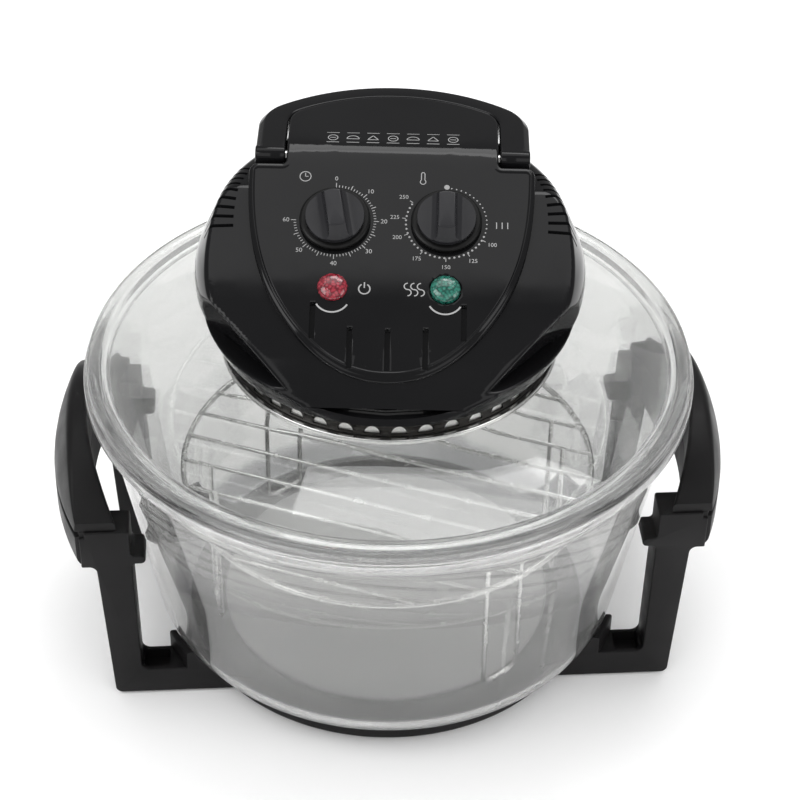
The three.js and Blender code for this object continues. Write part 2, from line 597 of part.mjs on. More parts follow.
// Head form: the drum's side, and the console that slopes down from the crease and rolls over the nose
const lowBulge = (head.bellyRadius - head.lipTopRadius) / (bellyZ - lipTop) ** 2;
const highBulge = (head.bellyRadius - head.shoulderRadius) / (shoulderZ - bellyZ) ** 2;
const sideRadius = (z) => head.bellyRadius - (z < bellyZ ? lowBulge : highBulge) * (z - bellyZ) ** 2;
const browZ = headTop - (head.crease - head.brow) * Math.tan(head.slope);
const noseCentre = (depth, radius) => [head.brow + (depth + radius) * Math.sin(head.slope),
  browZ - (depth + radius) * Math.cos(head.slope)];

// Side view of everything under the console's surface, sunk by a depth; the body's nose is rounder than the shield's
function underConsole(depth, noseRadius, halfWidth = head.bellyRadius + overrun) {
  const back = head.bellyRadius + overrun;
  const nose = shift(arc(noseRadius, Math.PI / 2 + head.slope, Math.PI, head.noseFacets), ...noseCentre(depth, noseRadius));
  const crease = [head.crease + depth * Math.tan(head.slope / 2), headTop - depth];
  const bottom = noseCentre(depth, noseRadius)[1] - overrun;
  return drawnX([[back, bottom], [back, headTop - depth], crease, ...nose, [nose[nose.length - 1][0], bottom]],
    -halfWidth, halfWidth);
}
const underShield = underConsole(0, head.noseRadius);
const underBody = underConsole(head.fasciaDepth, head.bodyNoseRadius);
const underWall = underConsole(head.fasciaDepth + head.wall, head.bodyNoseRadius - head.wall);
const consoleZ = (y) => {
  const [centreY, centreZ] = noseCentre(0, head.noseRadius);
  if (y < head.brow) return centreZ + Math.sqrt(head.noseRadius ** 2 - (y - centreY) ** 2);
  return Math.min(headTop, headTop - (head.crease - y) * Math.tan(head.slope));
};

// Head base: the floor of the head with the lip, cut back at the front where the nose comes down
const lipSolid = (inset, z0) => revolved([
  [0, z0], [head.lipRadius - inset, z0], [head.lipTopRadius - inset, lipTop + inset], [0, lipTop + inset],
]);
addPiece('head_base', cut(lipSolid(0, baseZ).intersect(underBody), lipSolid(head.wall, floorTop).intersect(underWall),
  post(head.floorBore, baseZ - overrun, floorTop + overrun, 0, 0, hiddenFacets),
  ...bossSpots.map(([x, y]) => post(fittings.screwRadius + gap, baseZ - overrun, floorTop + overrun, x, y, holeFacets))),
glossBlack);

// Plan outline of a rounded arch: straight sides, rounded corners and a round back
function archCorner(halfWidth, rearRadius, corner) {
  const x = halfWidth - corner;
  const y = Math.sqrt((rearRadius - corner) ** 2 - x ** 2);
  return { x, y, angle: Math.atan2(y, x) };
}
function archOutline(halfWidth, rearRadius, corner, y0, corners = head.cornerFacets, back = head.hoodFacets) {
  const { x, y, angle } = archCorner(halfWidth, rearRadius, corner);
  const right = shift(arc(corner, 0, angle, corners), x, y);
  const rear = arc(rearRadius, angle, Math.PI - angle, back).slice(1, -1);
  const left = right.map(([px, py]) => [-px, py]).reverse();
  return [[halfWidth, y0], ...right, ...rear, ...left, [-halfWidth, y0]];
}

// Plan outline of the shield: wide at the shoulder and drawn in to a round tail at the nose
const shieldSpan = head.shoulderY + head.shieldTail;
function shieldSide(inset, steps) {
  return Array.from({ length: steps + 1 }, (_, i) => {
    const angle = (i / steps) * (Math.PI / 2);
    const down = Math.sin(angle) ** (2 / head.shieldRearShare);
    const out = Math.cos(angle) ** (2 / head.shieldSideShare);
    return [(head.shieldHalfWidth - inset) * out, head.shoulderY - (shieldSpan - inset) * down];
  });
}
function fasciaOutline(inset) {
  const rear = archOutline(head.hoodHalfWidth - inset, head.hoodRearRadius - inset, head.hoodCorner - inset, head.shoulderY - inset);
  const side = shieldSide(inset, head.shieldSteps);
  side[side.length - 1][0] = 0;
  const left = side.slice(0, -1).map(([x, y]) => [-x, y - inset]);
  const right = side.map(([x, y]) => [x, y - inset]).reverse();
  return [...rear, ...left, ...right];
}

function drum(inset) {
  const z0 = inset > 0 ? coverZ - overrun : coverZ;
  const shares = inset > 0 ? head.cavityShares : head.drumShares;
  const stops = shares.map((share) => z0 + (shoulderZ - z0) * share);
  const side = stops.map((z) => [sideRadius(Math.max(z, coverZ)) - inset, z]);
  const top = ledgeZ - inset;
  return revolved([[0, z0], ...side, [head.ledgeRadius - inset, top - head.ledgeRound],
    [head.ledgeRadius - inset - head.ledgeRound, top], [0, top]], inset > 0 ? hiddenFacets : roundFacets);
}

// Wings: the drum's lower side is cut flat, which leaves a crescent ledge over the lip and a slit behind it
const ledgeBottom = coverZ + head.wingLedge;
function wingCut(side, grow) {
  const reach = head.bellyRadius + overrun;
  const foot = head.wingDepth - grow;
  const wedge = drawnX([[-reach - grow, ledgeBottom - grow], [-foot, ledgeBottom - grow],
    [-reach - grow, ledgeBottom - grow + (reach + grow - foot) / Math.tan(head.wingTilt)]], -head.wingReach, head.wingReach);
  return wedge.rotate([0, 0, THREE.MathUtils.radToDeg(side * head.wingAngle)]);
}
function wingSlit(side) {
  const half = head.slitLength / 2;
  const slit = block(-half, half, -head.wingDepth - overrun, -head.wingDepth + head.wall * 2, ledgeBottom,
    ledgeBottom + head.slitHeight);
  return slit.rotate([0, 0, THREE.MathUtils.radToDeg(side * head.wingAngle)]);
}

const core = raised(fasciaOutline(0), shoulderZ - head.ledgeRound, headTop + overrun);
const outerForm = join(drum(0), core).intersect(underBody);
const hoodRoom = raised(archOutline(head.hoodHalfWidth - head.wall, head.hoodRearRadius - head.wall,
  head.hoodCorner - head.wall, head.shoulderY - head.wall), shoulderZ - head.ledgeRound * 2, headTop);
const cavity = cut(join(drum(head.wall), hoodRoom).intersect(underWall), wingCut(-1, head.wall), wingCut(1, head.wall));

const slotCutters = [-2, -1, 0, 1, 2].map((n) => {
  const x = n * head.slotPitch;
  const tail = shieldSide(0, head.shieldSteps * 4).find(([w]) => w < Math.abs(x) + head.slotWidth)[1];
  const y0 = Math.max(tail, -head.shieldTail + head.slotWidth) + head.slotShift;
  return cut(block(x - head.slotWidth / 2, x + head.slotWidth / 2, y0 - head.slotWidth, y0 + head.slotLength,
    baseZ, headTop), underConsole(head.fasciaDepth + head.slotDepth, head.bodyNoseRadius - head.slotDepth));
});
const louvreCutters = [];
bothSides((side) => {
  const x = [side * head.louvreInner, side * (head.bellyRadius + overrun)].sort((a, b) => a - b);
  for (let i = 0; i < head.louvreCount; i += 1) {
    const louvre = block(...x, -head.louvreWidth / 2, head.louvreWidth / 2, ledgeZ - head.louvreDrop, ledgeZ + overrun);
    const turn = side * (head.louvreStart + i * head.louvreTurn);
    louvreCutters.push(louvre.rotate([0, 0, THREE.MathUtils.radToDeg(turn)]));
  }
});

// Places along the console: a group whose +Z leaves the panel and whose +Y climbs it
const panelPlace = (x, down) => [x, head.crease - down * Math.cos(head.slope), headTop - down * Math.sin(head.slope)];
function panelGroup(x, down) {
  const group = new THREE.Group();
  group.position.set(...panelPlace(x, down));
  group.rotation.x = head.slope;
  part.add(group);
  return group;
}
function panelHole(radius, x, down, facets = smallFacets) {
  const depth = head.fasciaDepth + head.wall + overrun;
  const hole = new THREE.CylinderGeometry(radius, radius, depth * 2, facets).rotateX(Math.PI / 2).rotateX(head.slope);
  return solidOf(moved(hole, ...panelPlace(x, down)));
}
const knobX = controls.spacing / 2;
const panelHoles = [];
bothSides((side) => {
  panelHoles.push(panelHole(controls.shaftRadius + gap, side * knobX, controls.knobDown));
  panelHoles.push(panelHole(controls.lensRadius + gap, side * knobX, controls.lampDown));
});

const pivotZ = ledgeZ + gap + handle.thickness / 2;
const pinHole = rodX(handle.pinRadius + gap, -head.hoodHalfWidth - overrun, head.hoodHalfWidth + overrun, handle.pivotY, pivotZ);
const legX = handle.outerHalfWidth - handle.width / 2;
const switchY = handle.pivotY + fittings.switchReach;
const plungerHole = post(fittings.plungerRadius + gap, shoulderZ - head.ledgeRound, ledgeZ + overrun, legX, switchY);
const inletHole = solidOf(moved(new THREE.CylinderGeometry(fittings.inletRadius + gap, fittings.inletRadius + gap,
  head.wall * 2 + overrun * 2, smallFacets), 0, head.bellyRadius - head.wall, bellyZ));
const bosses = bossSpots.map(([x, y], i) => {
  const ribLength = head.bellyRadius - head.wall / 2 - head.bossCircle;
  const rib = new THREE.BoxGeometry(ribLength, head.wall, head.bossHeight);
  moved(rib, head.bossCircle + ribLength / 2, 0, coverZ + head.bossHeight / 2).rotateZ(bossAngles[i]);
  return join(post(head.bossRadius, floorTop + gap, coverZ + head.bossHeight, x, y, holeFacets), solidOf(rib));
});
const bossBores = bossSpots.map(([x, y]) => post(fittings.screwRadius + gap, floorTop - overrun, baseZ + fittings.screwLength, x, y, wireFacets + 1));

addPiece('head_cover', cut(
  join(cut(outerForm, cavity, wingCut(-1, 0), wingCut(1, 0)), ...bosses.map((boss) => boss.intersect(bossRoom()))),
  wingSlit(-1), wingSlit(1), ...slotCutters, ...louvreCutters, ...panelHoles, pinHole, plungerHole, inletHole, ...bossBores,
), glossBlack);

// What the ribs of the bosses may fill: the drum between its wing cuts, down to the floor
function bossRoom() {
  const below = post(head.lipRadius - head.wall * 2, floorTop, coverZ + weld, 0, 0, roundFacets);
  return join(cut(drum(0).intersect(underBody), wingCut(-1, 0), wingCut(1, 0)), below);
}

// Console fascia: a skin over the hood and the shield, with a raised bead along the shield's edge
const beadPath = (side) => new THREE.CatmullRomCurve3(shieldSide(head.beadWidth, head.shieldSteps).slice(0, -1)
  .map(([x, y]) => new THREE.Vector3(side * x, y, consoleZ(y) - head.beadWidth + head.beadHeight)));
const skin = cut(raised(fasciaOutline(0), baseZ, headTop + overrun).intersect(underShield),
  underConsole(head.fasciaDepth - gap, head.bodyNoseRadius + gap));
const beads = [-1, 1].map((side) => wire(beadPath(side), head.beadWidth, head.shieldSteps * 2).subtract(
  underConsole(head.beadWidth / 2, head.noseRadius - head.beadWidth / 2)));
addPiece('console_fascia', cut(join(skin, ...beads), ...slotCutters, ...panelHoles), glossBlack);

// Knobs, shafts and the bodies behind them
const behindPanel = -(head.fasciaDepth + head.wall + gap);
function knob() {
  const skirt = revolved([
    [0, controls.knobLift], [controls.knobRadius - controls.knobRound, controls.knobLift],
    [controls.knobRadius, controls.knobLift + controls.knobRound],
    [controls.knobRadius - controls.knobRound, controls.knobBase], [0, controls.knobBase],
  ], roundFacets / 2);
  const half = controls.knobBar / 2;
  const reach = controls.knobRadius - controls.knobRound;
  const ends = [[-reach, controls.knobLift + weld], [-reach, controls.knobBase],
    [-reach + controls.knobRound * 2, controls.knobBarHeight], [reach - controls.knobRound * 2, controls.knobBarHeight],
    [reach, controls.knobBase], [reach, controls.knobLift + weld]];
  const bar = drawnX(ends, -half, half).intersect(post(reach, 0, controls.knobBarHeight + overrun));
  const bore = post(controls.shaftRadius + gap, -overrun, controls.knobBore + gap);
  return cut(join(skirt, bar), bore);
}
[['timer', -1], ['thermostat', 1]].forEach(([name, side]) => {
  const group = panelGroup(side * knobX, controls.knobDown);
  addPiece(`${name}_knob`, knob(), glossBlack, group).rotation.z = name === 'timer' ? controls.timerRest : 0;
  const shaft = post(controls.shaftRadius, behindPanel + gap, controls.knobBore);
  addPiece(`${name}_shaft`, shaft, steel, group);
  const half = controls.timerWidth / 2;
  const body = name === 'timer'
    ? block(-half, half, -half, half, behindPanel - controls.timerDepth, behindPanel)
    : post(controls.thermostatRadius, behindPanel - controls.thermostatDepth, behindPanel);
  addPiece(`${name}_body`, body, name === 'timer' ? whitePlastic : steel, group);
});
[['power', -1, redLens], ['heat', 1, greenLens]].forEach(([name, side, material]) => {
  const group = panelGroup(side * knobX, controls.lampDown);
  const top = controls.lensRise;
  const lens = revolved([
    [0, -controls.lensSeat], [controls.lensRadius, -controls.lensSeat], [controls.lensRadius, top],
    [controls.lensRadius * controls.lensStepShare, top + controls.lensDome * controls.lensStepShare],
    [0, top + controls.lensDome],
  ], smallFacets);
  addPiece(`${name}_lens`, lens, material, group);
  const bodyTop = -controls.lensSeat - gap;
  addPiece(`${name}_lamp`, post(controls.lampBody, bodyTop - controls.lampLength, bodyTop), whitePlastic, group);
});

// Carry handle: an arch that lies flat round the hood and swings up about two pins
const handleZ = ledgeZ + gap;
const handleTop = handleZ + handle.thickness;
const handleFoot = handle.pivotY - handle.thickness / 2;
function handleLayer(inset, z0, z1) {
  const outer = raised(archOutline(handle.outerHalfWidth - inset, handle.outerRadius - inset, handle.outerCorner - inset,
    handleFoot), z0, z1);
  const inner = raised(archOutline(handle.outerHalfWidth - handle.width + inset, handle.outerRadius - handle.width + inset,
    handle.outerCorner - handle.width + inset, handleFoot - overrun), z0 - overrun, z1 + overrun);
  return outer.subtract(inner);
}
const legEnds = rodX(handle.thickness / 2, -handle.outerHalfWidth, handle.outerHalfWidth, handle.pivotY, pivotZ);
const beyondPivot = block(-handle.outerHalfWidth - overrun, handle.outerHalfWidth + overrun, handle.pivotY,
  handle.outerRadius + overrun, handleZ - overrun, handleTop + overrun);
const handleBand = join(
  handleLayer(0, handleZ + handle.chamfer, handleTop - handle.chamfer),
  handleLayer(handle.chamfer / 2, handleZ, handleTop),
);
const handlePins = rodX(handle.pinRadius + gap, -handle.outerHalfWidth + handle.pinSeat - gap,
  handle.outerHalfWidth - handle.pinSeat + gap, handle.pivotY, pivotZ);
addPiece('carry_handle', cut(handleBand.intersect(join(legEnds, beyondPivot)), handlePins), satinBlack);
bothSides((side) => {
  const x = [side * (head.hoodHalfWidth - head.wall), side * (handle.outerHalfWidth - handle.pinSeat)].sort((a, b) => a - b);
  addPiece(`handle_pin_${sideName(side)}`, rodX(handle.pinRadius, ...x, handle.pivotY, pivotZ), steel);
});

// Safety switch: the folded handle holds its plunger down
const plungerTop = handleZ - gap;
const switchTop = plungerTop - fittings.plungerLength - gap;
addPiece('switch_plunger', post(fittings.plungerRadius, plungerTop - fittings.plungerLength, plungerTop, legX, switchY, 12),
  whitePlastic);
const switchHalf = fittings.switchWidth / 2;
addPiece('safety_switch', block(legX - switchHalf, legX + switchHalf, switchY - fittings.switchDepth / 2,
  switchY + fittings.switchDepth / 2, switchTop - fittings.switchHeight, switchTop), satinBlack);

// Heat shield plate over the head's floor
const shieldZ = floorTop + gap;
const shieldTop = shieldZ + heater.shieldWall;
const postSpots = [-1, 1].map((side) => [side * motor.postX, 0]);
addPiece('heat_shield', cut(post(heater.shieldRadius, shieldZ, shieldTop, 0, 0, hiddenFacets),
  post(shaftRoom, shieldZ - overrun, shieldTop + overrun),
  ...bossSpots.map(([x, y]) => post(head.bossRadius + gap, shieldZ - overrun, shieldTop + overrun, x, y, holeFacets)),
  ...postSpots.map(([x, y]) => post(motor.postRadius + gap, shieldZ - overrun, shieldTop + overrun, x, y, holeFacets))), steel);

// Fan motor: laminated stack, coil, two bridges with bearings, rotor and shaft
const stackZ = coverZ + motor.stackLift;
const stackTop = stackZ + motor.stackHeight;
const stackHalf = motor.stackWidth / 2;
const windowFar = motor.stackDepth - motor.legDepth;
const legFar = motor.stackDepth;
const windowNear = motor.boreRadius + motor.poleWall;
addPiece('motor_stack', cut(
  block(-stackHalf, stackHalf, -motor.boreRadius - motor.poleWall, legFar, stackZ, stackTop),
  post(motor.boreRadius, stackZ - overrun, stackTop + overrun),
  block(-stackHalf + motor.poleWall, stackHalf - motor.poleWall, windowNear, windowFar, stackZ - overrun, stackTop + overrun),
), darkSteel);
const coilHalf = motor.coilWidth / 2;
const coilMiddle = stackZ + motor.stackHeight / 2;
addPiece('motor_coil', cut(
  block(-coilHalf, coilHalf, windowNear + gap, legFar + motor.coilWrap, coilMiddle - motor.coilHeight / 2,
    coilMiddle + motor.coilHeight / 2),
  block(-coilHalf - overrun, coilHalf + overrun, windowFar - gap, legFar + gap, stackZ - gap, stackTop + gap),
), copper);
const bridgeHalf = motor.bridgeWidth / 2;
const lowBridgeTop = stackZ - gap;
const lowBridgeZ = lowBridgeTop - motor.bridgeThickness;
const bearingBore = (z0, z1) => post(motor.bearingRadius + gap, z0 - overrun, z1 + overrun);
addPiece('motor_bracket', cut(join(
  block(-motor.postX - bridgeHalf, motor.postX + bridgeHalf, -bridgeHalf, bridgeHalf, lowBridgeZ, lowBridgeTop),
  ...postSpots.map(([x, y]) => post(motor.postRadius, floorTop + gap, lowBridgeZ + weld, x, y, smallFacets)),
), bearingBore(lowBridgeZ, lowBridgeTop)), steel);
const highBridgeZ = stackTop + gap;
const highBridgeTop = highBridgeZ + motor.bridgeThickness;
addPiece('motor_top_bridge', cut(block(-stackHalf, stackHalf, -bridgeHalf, bridgeHalf, highBridgeZ, highBridgeTop),
  bearingBore(highBridgeZ, highBridgeTop)), steel);
[['lower', lowBridgeZ], ['upper', highBridgeZ]].forEach(([name, z0]) => {
  addPiece(`bearing_${name}`, cut(post(motor.bearingRadius, z0, z0 + motor.bridgeThickness),
    post(motor.shaftRadius + gap, z0 - overrun, z0 + motor.bridgeThickness + overrun)), copper);
});
addPiece('motor_rotor', cut(post(motor.rotorRadius, stackZ, stackTop, 0, 0, smallFacets),
  post(motor.shaftRadius + gap, stackZ - overrun, stackTop + overrun)), darkSteel);
addPiece('fan_shaft', post(motor.shaftRadius, guardTop + heater.tubeClearance, highBridgeTop + motor.shaftTail), steel);

function fan(radius, height, z0, discOnTop) {
  const disc = discOnTop ? [z0 + height - motor.fanDisc, z0 + height] : [z0, z0 + motor.fanDisc];
  const blades = Array.from({ length: motor.bladeCount }, (_, i) => {
    const blade = new THREE.BoxGeometry(radius - motor.hubRadius, motor.bladeWall, height);
    moved(blade, (radius + motor.hubRadius) / 2 - weld, 0, z0 + height / 2);
    return solidOf(blade.rotateZ((i * 2 * Math.PI) / motor.bladeCount));
  });
  const body = join(post(motor.hubRadius, z0, z0 + height), post(radius, ...disc, 0, 0, hiddenFacets), ...blades);
  return cut(body, post(motor.shaftRadius + gap, z0 - overrun, z0 + height + overrun));
}
addPiece('cooling_fan', fan(motor.coolingFanRadius, motor.coolingFanHeight, shieldTop + motor.fanClearance, false), steel);
addPiece('oven_fan', fan(motor.ovenFanRadius, motor.ovenFanHeight, guardTop + motor.fanClearance * 2, true), steel);

// Small fittings on the heat shield and in the cover
const cutoutX = motor.coolingFanRadius + fittings.cutoutRadius;
addPiece('thermal_cutout', post(fittings.cutoutRadius, shieldTop + gap, shieldTop + gap + fittings.cutoutHeight,
  -cutoutX, -cutoutX / 2), ceramic);
const blockY = motor.stackDepth + fittings.blockDepth;
addPiece('terminal_block', block(-fittings.blockWidth / 2, fittings.blockWidth / 2, blockY, blockY + fittings.blockDepth,
  shieldTop + gap, shieldTop + gap + fittings.blockHeight), whitePlastic);
const inlet = cut(revolved([
  [0, -fittings.inletLength], [fittings.inletRadius, -fittings.inletLength], [fittings.inletRadius, 0],
  [fittings.inletFlange, 0], [fittings.inletFlange, fittings.inletFlangeWall], [0, fittings.inletFlangeWall],
], smallFacets), post(fittings.inletBore, -fittings.inletLength - overrun, fittings.inletFlangeWall + overrun, 0, 0, smallFacets));
const inletPiece = addPiece('cord_inlet', inlet, rubber);
inletPiece.position.set(0, head.bellyRadius + gap, bellyZ);
inletPiece.rotation.x = -Math.PI / 2;
bossSpots.forEach(([x, y], i) => {
  const screw = join(post(fittings.screwHead, baseZ - gap - fittings.screwHeadHeight, baseZ - gap, x, y, 10),
    post(fittings.screwRadius, baseZ - gap - weld, baseZ + fittings.screwLength - gap, x, y, 8));
  addPiece(`head_screw_${i + 1}`, screw, steel);
});

export default part;
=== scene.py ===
# %% [markdown]
# # A halogen oven, dressed in Blender
# The oven is a glass bowl in a black stand, with a glass lid that carries a glossy head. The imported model
# gives every size and every joint. This lesson adds what a maker's drawing leaves out: rounded mouldings,
# real glass, bright wire, print on the dials and a soft studio.

import json
import math

import bpy
import numpy as np
from mathutils import Matrix, Vector

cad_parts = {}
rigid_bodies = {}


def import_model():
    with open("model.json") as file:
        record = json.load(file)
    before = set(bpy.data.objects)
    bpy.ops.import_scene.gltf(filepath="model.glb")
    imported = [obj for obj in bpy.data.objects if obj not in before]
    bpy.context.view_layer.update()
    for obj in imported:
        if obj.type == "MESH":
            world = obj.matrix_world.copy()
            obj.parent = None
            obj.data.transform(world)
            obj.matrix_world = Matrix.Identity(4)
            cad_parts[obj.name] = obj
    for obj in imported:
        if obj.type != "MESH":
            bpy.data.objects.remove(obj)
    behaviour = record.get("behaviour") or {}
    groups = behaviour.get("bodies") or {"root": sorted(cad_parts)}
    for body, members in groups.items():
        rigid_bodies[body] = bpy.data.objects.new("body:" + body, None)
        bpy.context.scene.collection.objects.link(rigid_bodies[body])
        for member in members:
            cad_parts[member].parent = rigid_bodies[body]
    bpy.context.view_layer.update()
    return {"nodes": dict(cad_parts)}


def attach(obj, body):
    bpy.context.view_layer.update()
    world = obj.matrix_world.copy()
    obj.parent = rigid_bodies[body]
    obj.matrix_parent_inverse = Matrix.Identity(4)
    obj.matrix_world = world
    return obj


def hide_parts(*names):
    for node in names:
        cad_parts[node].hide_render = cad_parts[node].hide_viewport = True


bpy.ops.object.select_all(action="SELECT")
bpy.ops.object.delete()
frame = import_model()
print("nodes in the frame:", len(frame["nodes"]))

# %% [markdown]
# ## Sizes
# Lengths are in millimetres, as on the drawing, and each piece is scaled to metres once, at its end.
# Finishes, the camera and the lights work in metres.

# %% Sizes of the glass, the stand and the head
MM = 0.001
GAP = 0.3
STAND_TURN = math.radians(4.8)
SLOPE = math.radians(25.5)
CREASE_Y, TOP_Z = 38.0, 300.0
BROW_Y, NOSE_RADIUS, BODY_NOSE_RADIUS, SKIN = -45.0, 116.0, 140.0, 3.0
BROW_Z = TOP_Z - (CREASE_Y - BROW_Y) * math.tan(SLOPE)
LID_BOTTOM = 186.3
LID_TOP = 191.9
DOME_FOOT, DOME_RISE, DOME_RADIUS, OPENING = 189.4, 14.0, 159.5, 86.0
CLAMP_THICK, BAND_HIGH, LIP_HIGH = 3.0, 10.5, 7.0
CLAMP_Z = DOME_FOOT + DOME_RISE * (1 - (OPENING / DOME_RADIUS) ** 2) + GAP
BAND_Z = CLAMP_Z + CLAMP_THICK + GAP
BASE_Z = BAND_Z + BAND_HIGH + GAP
LIP_TOP = BASE_Z + LIP_HIGH
COVER_Z = LIP_TOP + GAP
LEDGE_Z = 287.0
print("cover starts at", round(COVER_Z, 2), "mm")

# %% [markdown]
# ## The camera
# It stands where the photographer stood: well above the lid, with a long lens, and tilted a hair clockwise.

# %% Camera
CAMERA_RISE = math.radians(38.54)
CAMERA_SIDE = math.radians(0.47)
CAMERA_ROLL = math.radians(0.97)
CAMERA_REACH, AIM_ASIDE, AIM_HEIGHT = 1.2652, 0.0066, 0.1549
SENSOR, LENS, FARTHEST = 36, 99, 20

bpy.ops.object.camera_add()
camera = bpy.context.object
camera.name = "studio_camera"
camera.data.sensor_width = SENSOR
camera.data.lens = LENS
level = Vector((math.cos(CAMERA_SIDE), math.sin(CAMERA_SIDE), 0))
ahead = Vector((-math.sin(CAMERA_SIDE), math.cos(CAMERA_SIDE), 0))
back = Vector((0, 0, math.sin(CAMERA_RISE))) - ahead * math.cos(CAMERA_RISE)
upward = back.cross(level)
right = level * math.cos(CAMERA_ROLL) + upward * math.sin(CAMERA_ROLL)
over = upward * math.cos(CAMERA_ROLL) - level * math.sin(CAMERA_ROLL)
turn = Matrix((right, over, back)).transposed().to_4x4()
aim = level * AIM_ASIDE + Vector((0, 0, AIM_HEIGHT))
camera.matrix_world = Matrix.Translation(aim + back * CAMERA_REACH) @ turn
camera.data.clip_end = FARTHEST
bpy.context.scene.camera = camera
print("camera at", [round(v, 3) for v in camera.location])

# %% [markdown]
# ## Tools of the trade
# Six small helpers do most of the making. `turned` spins an outline as on a lathe, `slab` pushes one out like
# a biscuit cutter, `formed` bends a grid into any shape a formula can say, `fan_of` lays a skin over a stack
# of rings, `carve` uses one solid on another, and `eased` breaks the sharp edges as a mould does.

# %% Select and apply
def deselect():
    if bpy.context.object and bpy.context.object.mode != "OBJECT":
        bpy.ops.object.mode_set(mode="OBJECT")
    bpy.ops.object.select_all(action="DESELECT")


def only(piece):
    deselect()
    piece.select_set(True)
    bpy.context.view_layer.objects.active = piece


MERGE = 0.0005


def tidy_mesh(piece, merge=MERGE):
    """Merge doubles, drop what is loose or has no area, and turn every face outwards."""
    only(piece)
    bpy.ops.object.mode_set(mode="EDIT")
    bpy.ops.mesh.select_all(action="SELECT")
    bpy.ops.mesh.remove_doubles(threshold=merge)
    bpy.ops.mesh.dissolve_degenerate(threshold=merge / 2)
    bpy.ops.mesh.delete_loose()
    bpy.ops.mesh.select_all(action="SELECT")
    bpy.ops.mesh.normals_make_consistent(inside=False)
    bpy.ops.object.mode_set(mode="OBJECT")


def named(name):
    piece = bpy.context.object
    piece.name = name
    piece.data.name = name
    return piece


def moved_by(piece, matrix):
    piece.data.transform(matrix)
    if matrix.determinant() < 0:
        piece.data.flip_normals()
    return piece


def spun(piece, angle):
    return moved_by(piece, Matrix.Rotation(angle, 4, "Z"))

# %% [markdown]
# An outline is a list of corners. A corner may carry a third number, the radius of its rounding. No rounding
# takes more than about half of a side.

# %% Rounded outlines
REACH_SHARE = 0.49


def rounded(corners, steps=5):
    outline = []
    for i, corner in enumerate(corners):
        here = Vector(corner[:2])
        radius = corner[2] if len(corner) > 2 else 0
        if not radius:
            outline.append(tuple(here))
            continue
        before = Vector(corners[i - 1][:2]) - here
        after = Vector(corners[(i + 1) % len(corners)][:2]) - here
        half = before.angle(after) / 2
        reach = min(radius / math.tan(half), before.length * REACH_SHARE, after.length * REACH_SHARE)
        radius = reach * math.tan(half)
        before.normalize()
        after.normalize()
        centre = here + (before + after).normalized() * (radius / math.sin(half))
        start, end = here + before * reach - centre, here + after * reach - centre
        first = math.atan2(start.y, start.x)
        sweep = math.atan2(end.y, end.x) - first
        sweep = (sweep + math.pi) % (2 * math.pi) - math.pi
        for step in range(steps + 1):
            angle = first + sweep * step / steps
            outline.append((centre.x + radius * math.cos(angle), centre.y + radius * math.sin(angle)))
    return outline


def arc(radius, start, end, steps, centre=(0, 0)):
    angles = [start + (end - start) * i / steps for i in range(steps + 1)]
    return [(centre[0] + radius * math.cos(a), centre[1] + radius * math.sin(a)) for a in angles]

# %% Lathe, biscuit cutter and formed grid
def turned(name, outline, steps=128):
    """Spin a closed outline of (radius, height) about the upright axis."""
    deselect()
    bpy.ops.mesh.primitive_circle_add(vertices=len(outline), radius=1, fill_type="NOTHING")
    piece = named(name)
    for corner, (radius, height) in zip(piece.data.vertices, outline):
        corner.co = (max(radius, 0), 0, height)
    bpy.ops.object.mode_set(mode="EDIT")
    bpy.ops.mesh.select_all(action="SELECT")
    bpy.ops.mesh.spin(steps=steps, angle=2 * math.pi, center=(0, 0, 0), axis=(0, 0, 1))
    bpy.ops.object.mode_set(mode="OBJECT")
    tidy_mesh(piece)
    return piece


def slab(name, outline, low, high, along="Z"):
    """Push a flat outline out along one axis."""
    deselect()
    bpy.ops.mesh.primitive_circle_add(vertices=len(outline), radius=1, fill_type="NGON")
    piece = named(name)
    axis = "XYZ".index(along)
    for corner, (a, b) in zip(piece.data.vertices, outline):
        place = [a, b]
        place.insert(axis, low)
        corner.co = place
    way = [0, 0, 0]
    way[axis] = high - low
    bpy.ops.object.mode_set(mode="EDIT")
    bpy.ops.mesh.select_all(action="SELECT")
    bpy.ops.mesh.extrude_region_move(TRANSFORM_OT_translate={"value": way})
    bpy.ops.object.mode_set(mode="OBJECT")
    tidy_mesh(piece)
    return piece


def box(name, x, y, z):
    return slab(name, [(x[0], y[0]), (x[1], y[0]), (x[1], y[1]), (x[0], y[1])], *z)


def formed(name, columns, rows, place):
    """Bend a grid: place takes two arrays from 0 to 1 and gives three arrays of coordinates."""
    deselect()
    bpy.ops.mesh.primitive_grid_add(x_subdivisions=columns, y_subdivisions=rows, size=2)
    piece = named(name)
    flat = np.empty(len(piece.data.vertices) * 3)
    piece.data.vertices.foreach_get("co", flat)
    flat = flat.reshape(-1, 3)
    spots = np.stack(place((flat[:, 0] + 1) / 2, (flat[:, 1] + 1) / 2), axis=1)
    piece.data.vertices.foreach_set("co", spots.ravel())
    piece.data.update()
    tidy_mesh(piece)
    return piece


def closed(piece, close):
    """Close the open rims of a skin."""
    only(piece)
    bpy.ops.object.mode_set(mode="EDIT")
    bpy.ops.mesh.select_all(action="DESELECT")
    bpy.ops.mesh.select_non_manifold()
    close()
    bpy.ops.object.mode_set(mode="OBJECT")
    tidy_mesh(piece)
    return piece


def fan_of(name, rings):
    """A closed skin over a stack of rings with equal numbers of points. The first and last are filled."""
    points = len(rings[0])
    stack = np.array(rings, dtype=float)

    def place(u, v):
        column = np.rint(u * points).astype(int) % points
        row = np.rint(v * (len(rings) - 1)).astype(int)
        spots = stack[row, column]
        return spots[:, 0], spots[:, 1], spots[:, 2]

    return closed(formed(name, points, len(rings) - 1, place), bpy.ops.mesh.edge_face_add)

